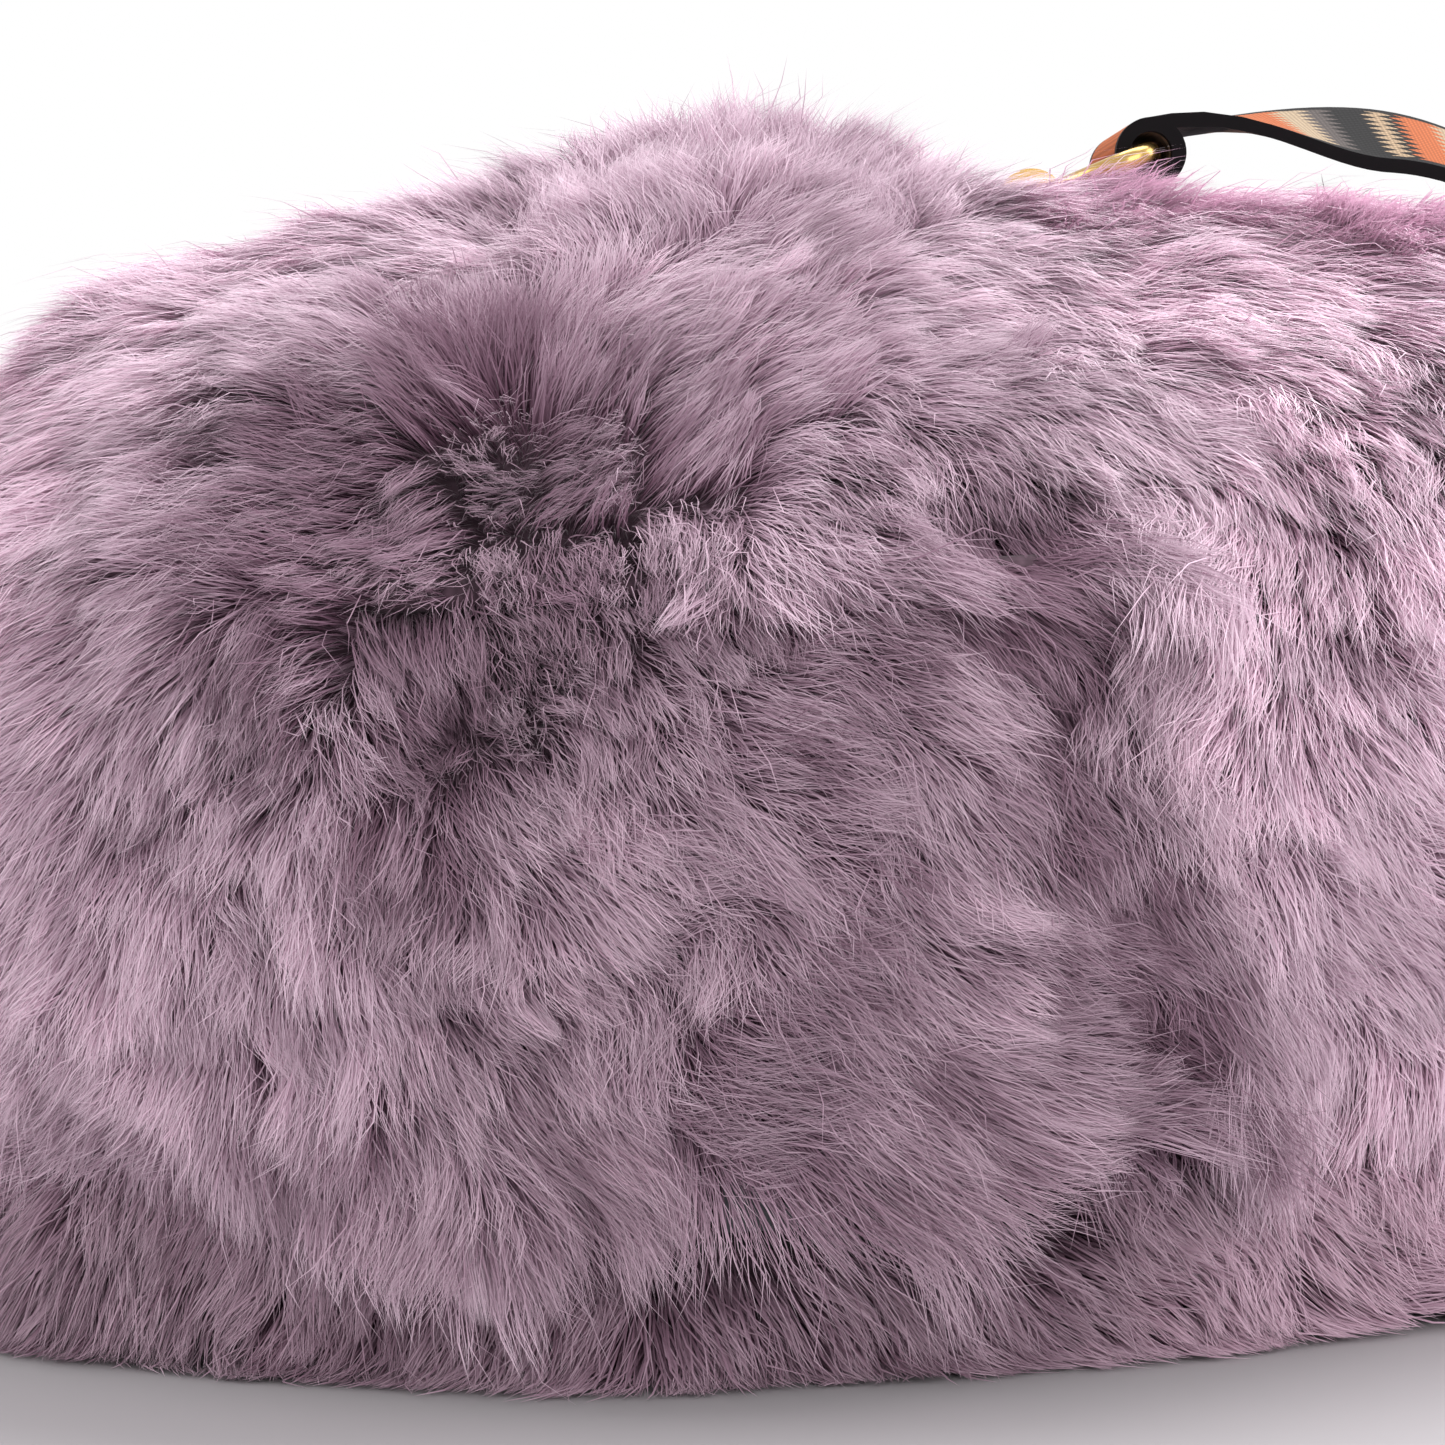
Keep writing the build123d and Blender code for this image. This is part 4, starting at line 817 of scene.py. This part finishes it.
def room_share(points):
    """Shorter fur under a ring, the strap or the flap; longer at the back, the hem and the flap's edge."""
    x, y, z = points.T
    share = np.ones(len(points))
    far_top = ((x - TOP_RING_X) / (15 * MM)) ** 2 + ((y - STRAP_Y - 5 * MM) / (18 * MM)) ** 2
    far_side = ((z - SIDE_RING_Z) / (15 * MM)) ** 2 + ((y - STRAP_Y) / (22 * MM)) ** 2
    share -= 0.55 * (np.exp(-far_top ** 2) * (z > MID_Z)) + 0.55 * (np.exp(-far_side ** 2) * (x > 90 * MM))
    share *= 1 + .16 * np.clip(y / (30 * MM), 0, 1)
    under = under_flap(points)
    share[under] = UNDER_FLAP
    share *= 1 + HEM_LONGER * np.clip((40 * MM - z) / (16 * MM), 0, 1) * ~under
    share *= 1 + .45 * np.clip((54 * MM - z) / (10 * MM), 0, 1) * (np.abs(x) < HINGE_HALF + 4 * MM) * (y > 0)
    share *= 1 + .45 * near_flap(points, 7 * MM) * (z > FLAP_HIGH.z - 2 * MM) * (x > -16 * MM)
    return share


thin, wide = ((1.0, 1.0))
DENSITY = 6.4e6 * thin  # hairs for each square metre
HOOD_PILE, FLAP_PILE, WELT_PILE, BAND_PILE = 15 * MM, 13 * MM, 11.5 * MM, 15 * MM
HOOD_SPREAD, FLAP_SPREAD, BAND_SPREAD = 11 * MM, 9 * MM, 18 * MM  # how far each guide reaches
HOOD_BASE, FLAP_BASE, BAND_BASE = (.68, 1, .25), (.76, 1, .3), (.6, 1, .2)  # plain lean, length and mess
HOOD_HAIR, FLAP_HAIR, WELT_HAIR, BAND_HAIR = (.11, .185), (.105, .175), (.12, .2), (.18, .27)  # mm wide
EDGE_RAISE = 3.8 * MM  # the hood's fur swells along the flap's edge


def hair_widths(rng, limits, count):
    return rng.uniform(*limits, count) * MM * wide


def density_share(points):
    """Full density on the front, where the hairs are finest; fewer and coarser hairs round the back."""
    x, y, _ = points.T
    share = np.clip(1 - (y + 12 * MM) / (50 * MM), .34, 1.0)
    return np.minimum(share, np.clip(1.5 - np.abs(x + 14 * MM) / (115 * MM), .4, 1.0))


def grow_hood(name, low_x, high_x, seed):
    """The hood's fur between two places along x, in mm."""
    rng = np.random.default_rng(SEED + seed)
    roots, normals = oval_roots(DENSITY, SKIN_IN + 0.4 * MM, rng,
                                lambda p: hood_keep(p) & (p[:, 0] >= low_x * MM) & (p[:, 0] < high_x * MM))
    dense = density_share(roots)
    chosen = rng.random(len(roots)) < dense
    roots, normals, dense = roots[chosen], normals[chosen], dense[chosen]
    edge = near_flap(roots, 11 * MM) * ~under_flap(roots)
    roots = roots + normals * (edge * EDGE_RAISE)[:, None]
    lines, shade = make_fur(roots, normals, HOOD_GUIDES, HOOD_SPREAD, HOOD_BASE, HOOD_PILE, rng,
                            DENSITY * dense.mean(), length_share=room_share(roots), locks=TUFT)
    lift = crest_lift(roots)
    root_lift = np.maximum(lift, BACKING_DIP)
    along = np.linspace(0, 1, lines.shape[1])[None, :]
    lines = lines + normals[:, None, :] * (root_lift[:, None] + (lift - root_lift)[:, None] * along)[:, :, None]
    off_the_table(lines)
    widths = hair_widths(rng, HOOD_HAIR, len(roots)) / np.sqrt(dense)
    piece = ribbons(name, lines, normals, shade, widths, rng, HOOD_FUR)
    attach(piece, "hood")


# in mm along x, so that each piece stays small enough to export whole
CUTS = [
    -133, -104, -90, -78, -66, -55, -44, -33, -22, -11, 0, 11, 22, 33, 44, 56, 70, 86, 104, 133]
for number, (low_x, high_x) in enumerate(zip(CUTS, CUTS[1:])):
    grow_hood(f"hood_fur_{number + 1}", low_x, high_x, number)

# ---- fur on the flap
rng = np.random.default_rng(SEED + 50)
roots, normals = oval_roots(
    DENSITY, FLAP_SKIN_IN + 0.2 * MM, rng,
    lambda p: (p[:, 0] > FLAP_LOW.x + 0.3 * MM) & (p[:, 0] < FLAP_HIGH.x - 0.3 * MM) & (p[:, 1] < 0)
    & (p[:, 2] > FLAP_LOW.z + 0.3 * MM) & (p[:, 2] < FLAP_HIGH.z - 0.2 * MM))
hem = np.clip((44 * MM - roots[:, 2]) / (14 * MM), 0, 1)
top = np.clip((roots[:, 2] - 76 * MM) / (12 * MM), 0, 1)
lines, shade = make_fur(roots, normals, FLAP_GUIDES, FLAP_SPREAD, FLAP_BASE, FLAP_PILE, rng, DENSITY,
                        inset=FLAP_SKIN_IN, length_share=1 + .8 * hem - .1 * top, locks=LOCKS)
off_the_table(lines)
widths = hair_widths(rng, FLAP_HAIR, len(roots))
for flap_fur in by_x("flap_fur", [-60, -8, 60], roots, lines, normals, shade, widths, rng, FLAP_FUR):
    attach(flap_fur, "flap")

# the welt at the flap's top is a soft roll in the same fur, which follows the fur it is sewn to
WELT_LOW, WELT_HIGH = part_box("flap_welt")
WELT_IN = 4.4 * MM  # its middle lies this far inside the fur's outside
WELT_BARE = -14 * MM  # left of this the whorl's own hair covers the welt
WELT_R = 1.8 * MM
WELT_Z = (WELT_LOW.z + WELT_HIGH.z) / 2 / MM
WELT_RINGS, WELT_SIDES = 40, 16
rng = np.random.default_rng(SEED + 55)


def welt_line(x):
    return np.array([on_oval(place / MM, WELT_Z, WELT_IN) for place in x])


def welt_face(ring, side):
    here, there = ring * WELT_SIDES, (ring + 1) * WELT_SIDES
    following = (side + 1) % WELT_SIDES
    return here + side, here + following, there + following, there + side


welt_x = np.linspace(WELT_LOW.x + 2 * MM, WELT_HIGH.x - 2 * MM, WELT_RINGS)
around = np.linspace(0, 2 * np.pi, WELT_SIDES, endpoint=False)
circle = np.stack([np.zeros(WELT_SIDES), np.cos(around), np.sin(around)], 1)
rings = welt_line(welt_x)[:, None, :] + WELT_R * circle[None]
faces = [welt_face(ring, side) for ring in range(WELT_RINGS - 1) for side in range(WELT_SIDES)]
last = (WELT_RINGS - 1) * WELT_SIDES
faces += [tuple(range(WELT_SIDES - 1, -1, -1)), tuple(range(last, last + WELT_SIDES))]
welt_mesh = bpy.data.meshes.new("welt_backing")
welt_mesh.from_pydata(rings.reshape(-1, 3).tolist(), [], faces)
welt_mesh.materials.append(BACKING)
welt_backing = add_object("welt_backing", welt_mesh)
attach(welt_backing, "flap")
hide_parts("flap_welt")

count = int((WELT_HIGH.x - WELT_BARE) * 4.2 * WELT_R * DENSITY)
spin = rng.uniform(math.radians(-60), math.radians(100), count)
roots = welt_line(WELT_BARE + (welt_x[-1] - WELT_BARE) * rng.random(count) ** .9)
roots += WELT_R * .96 * np.stack([np.zeros(count), -np.cos(spin), np.sin(spin)], 1)
normals = oval_normal(roots, 0.0)
lines, shade = make_fur(roots, normals, FLAP_GUIDES, FLAP_SPREAD, FLAP_BASE, WELT_PILE, rng, DENSITY,
                        inset=FLAP_SKIN_IN)
widths = hair_widths(rng, WELT_HAIR, count)
welt_fur = ribbons("welt_fur", lines, normals, shade, widths, rng, FLAP_FUR)
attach(welt_fur, "flap")

# ---- fur on the band round the tray
BAND_AXES = BAND_REACH - 10 * MM
BAND_DENSITY = 3.6e6 * thin
BAND_NOTCH_Z = 14 * MM  # above this the latch and the hinge interrupt the band
# (x, z) in mm on the front, (dx, dz) the way the hair runs
BAND_LIE = np.array([
    (-90, 14, -.2, -1), (-30, 14, .3, -1), (10, 14, .7, -.7), (40, 14, .9, -.4), (75, 16, .8, -.5)])


def band_normal(points):
    x, y, _ = points.T
    return unit(np.stack([x / BAND_AXES[0] ** 2, y / BAND_AXES[1] ** 2, np.zeros(len(points))], 1))


def band_front(x):
    return -BAND_AXES[1] * math.sqrt(max(1 - (x / BAND_AXES[0]) ** 2, 0))


rng = np.random.default_rng(SEED + 60)
turn = np.linspace(0, 2 * np.pi, 4001)
rim = np.stack([BAND_AXES[0] * np.cos(turn), BAND_AXES[1] * np.sin(turn)], 1)
run = np.concatenate([[0], np.cumsum(np.linalg.norm(np.diff(rim, axis=0), axis=1))])
count = int(run[-1] * (SEAM_Z - BAND_LOW.z) * BAND_DENSITY)
spot = rng.random(count) * run[-1]
roots = np.stack([np.interp(spot, run, rim[:, 0]), np.interp(spot, run, rim[:, 1]),
                  rng.uniform(BAND_LOW.z + 1.2 * MM, SEAM_Z - 0.3 * MM, count)], 1)
x, y, z = roots.T
notch = (z > BAND_NOTCH_Z) & (((np.abs(x) < LATCH_HALF) & (y < 0)) | ((np.abs(x) < HINGE_HALF) & (y > 0)))
roots = roots[~notch]
normals = band_normal(roots)
spots = np.array([[x * MM, band_front(x * MM), z * MM] for x, z in BAND_LIE[:, :2]])
lies = tangent_of(band_normal(spots), BAND_LIE[:, 2], BAND_LIE[:, 3])
guides = spots, lies, np.tile(BAND_BASE, (len(spots), 1))
lines, shade = make_fur(roots, normals, guides, BAND_SPREAD, BAND_BASE, BAND_PILE, rng, BAND_DENSITY, steps=3)
off_the_table(lines)
widths = hair_widths(rng, BAND_HAIR, len(roots))
for band_fur in by_x("band_fur", [-140, -45, 45, 140], roots, lines, normals, shade, widths, rng, BAND_FUR):
    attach(band_fur, "base")

# ---- the strap, lying with a slight twist
STRAP_HUB = np.array([68 * MM, 78 * MM])  # the strap bends round about this point, in x and z
STRAP_BEND = 66 * MM  # and about this far from it
TWIST_FROM, TWIST_TO = np.pi * .59, .34  # angles round that point, between which it may twist
STRIPE_SETS, TEETH, TOOTH_DEPTH = 46.0, 11.0, 0.2  # sets for each metre, teeth across the strap, in sets
THREADS_ALONG, THREADS_ACROSS = 1700.0, 26.0


def strap_finish():
    """Webbing with toothed cross stripes, a dark edge and painted shade between its threads; u runs along it in
    metres, v across from 0 to 1.
    """
    material, tree, shader = new_material("strap_weave")
    u, v = uv_parts(tree, "Run")

    def sums(kind, a, b=None):
        return maths(tree, kind, a, b)

    def waves(value, count):
        return sums("PINGPONG", sums("MULTIPLY", value, count), 0.5)

    across = sums("ABSOLUTE", sums("SUBTRACT", v, 0.5))
    teeth = sums("MULTIPLY", waves(v, TEETH), TOOTH_DEPTH)
    stripe = sums("FRACT", sums("ADD", sums("MULTIPLY", u, STRIPE_SETS), teeth))
    bands = ramp(tree, stripe, [
        (0.0, srgb(190, 104, 62)), (0.24, srgb(182, 160, 134)), (0.42, srgb(92, 84, 82)),
        (0.56, srgb(22, 20, 22)), (0.82, srgb(178, 152, 124)), (0.92, srgb(24, 22, 23))], steps=True)
    edge = sums("GREATER_THAN", across, 0.44)
    colour = mix(tree, "MIX", edge, bands, srgb(28, 26, 28))
    # darker where the threads dip: painted shade in the gaps of the weave
    weave = sums("MULTIPLY", waves(u, THREADS_ALONG), waves(v, THREADS_ACROSS))
    shade = ramp(tree, weave, [(0.0, (.55, .55, .55, 1)), (0.18, (1, 1, 1, 1))])
    tree.links.new(mix(tree, "MULTIPLY", 1.0, colour, shade), shader.inputs["Base Color"])
    bump(tree, shader, weave, 0.6, 0.0004)
    put(shader, {"Roughness": 0.9, "Specular IOR Level": 0.15})
    return material


def twisted_strap():
    """The strap's own solid with its front edge turned down between the rings."""
    mesh = frame["nodes"]["carry_strap"].data.copy()
    co = np.empty(len(mesh.vertices) * 3)
    mesh.vertices.foreach_get("co", co)
    co = co.reshape(-1, 3)
    arm = co[:, [0, 2]] - STRAP_HUB
    angle = np.arctan2(arm[:, 1], arm[:, 0])
    outward = unit(arm)
    share = np.clip((TWIST_FROM - angle) / .45, 0, 1) * np.clip((angle - TWIST_TO) / .5, 0, 1)
    turn = ((co[:, 1] - STRAP_HIGH.y) * 0.3 - 0.3 * MM) * share * share * (3 - 2 * share)
    co[:, 0] += outward[:, 0] * turn
    co[:, 2] += outward[:, 1] * turn
    run = -angle * STRAP_BEND
    mesh.vertices.foreach_set("co", co.reshape(-1))
    for layer in list(mesh.uv_layers):
        mesh.uv_layers.remove(layer)
    index = np.empty(len(mesh.loops), np.int32)
    mesh.loops.foreach_get("vertex_index", index)
    width = STRAP_HIGH.y - STRAP_LOW.y
    uv = np.stack([run[index], (co[index, 1] - STRAP_LOW.y) / width], 1)
    mesh.uv_layers.new(name="Run").data.foreach_set("uv", uv.reshape(-1).astype(np.float32))
    mesh.update()
    mesh.materials.clear()
    mesh.materials.append(strap_finish())
    strap = add_object("strap_twisted", mesh)
    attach(strap, "hood")
    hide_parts("carry_strap")


twisted_strap()

# ---- camera, floor and light
LENS = 105
VIEW_AZ, VIEW_EL, VIEW_ROLL = math.radians(1.57), math.radians(3.58), math.radians(-2.41)
TARGET = Vector((-12.2, -60, 71.3)) * MM
DISTANCE = 483.2 * MM
ahead = Vector((math.sin(VIEW_AZ) * math.cos(VIEW_EL), math.cos(VIEW_AZ) * math.cos(VIEW_EL),
                -math.sin(VIEW_EL)))
right = Vector((math.cos(VIEW_AZ), -math.sin(VIEW_AZ), 0))
up = right.cross(ahead)
cos_roll, sin_roll = math.cos(VIEW_ROLL), math.sin(VIEW_ROLL)
right, up = cos_roll * right + sin_roll * up, cos_roll * up - sin_roll * right
camera_data = bpy.data.cameras.new("camera")
camera_data.lens = LENS
camera_data.sensor_width = 36
camera_data.clip_start = 0.01
camera = add_object("camera", camera_data)
turn = Matrix((right, up, -ahead)).transposed()
camera.matrix_world = Matrix.Translation(TARGET - ahead * DISTANCE) @ turn.to_4x4()
bpy.context.scene.camera = camera

floor_mesh = bpy.data.meshes.new("floor")
floor_mesh.from_pydata([(x, y, 0) for x, y in ((-6, -6), (6, -6), (6, 6), (-6, 6))], [], [(0, 1, 2, 3)])
floor = add_object("floor", floor_mesh)
floor_material, tree, shader = new_material("floor_pale")
cloud = grain(tree, 1.2, 2.0)
tone = ramp(tree, cloud, [(0.3, srgb(172, 167, 170)), (0.7, srgb(182, 178, 181))])
tree.links.new(tone, shader.inputs["Base Color"])
put(shader, {"Roughness": 0.7})
floor_mesh.materials.append(floor_material)

WORLD_LIGHT = 0.8  # strength of the world's own light; seen, it is plain white
world = bpy.data.worlds.new("world")
bpy.context.scene.world = world
world.use_nodes = True
tree = world.node_tree
background = tree.nodes["Background"]
path = tree.nodes.new("ShaderNodeLightPath")
seen = path.outputs["Is Camera Ray"]
for ray in ("Is Glossy Ray", "Is Transmission Ray"):
    seen = maths(tree, "MAXIMUM", seen, path.outputs[ray])
tree.links.new(map_range(tree, seen, WORLD_LIGHT, 1.0), background.inputs["Strength"])
put(background, {"Color": (1, 1, 1, 1)})


def area_light(name, place, size, power):
    """A square lamp that faces the middle of the windscreen; metres and watts."""
    data = bpy.data.lights.new(name, "AREA")
    data.shape = "SQUARE"
    data.size = size
    data.energy = power
    lamp = add_object(name, data)
    lamp.location = place
    lamp.rotation_mode = "QUATERNION"
    lamp.rotation_quaternion = (Vector((0, 0, MID_Z)) - Vector(place)).to_track_quat("-Z", "Y")


area_light("key_above_behind", (0.25, 0.45, 1.0), 0.9, 14.0)
area_light("fill_front", (0.5, -1.1, 0.6), 0.9, 6.0)
area_light("side_left", (-1.0, 0.35, 0.6), 0.8, 5.5)
area_light("side_right", (1.0, 0.2, 0.6), 0.8, 6.5)
bpy.context.scene.view_settings.view_transform = "Standard"
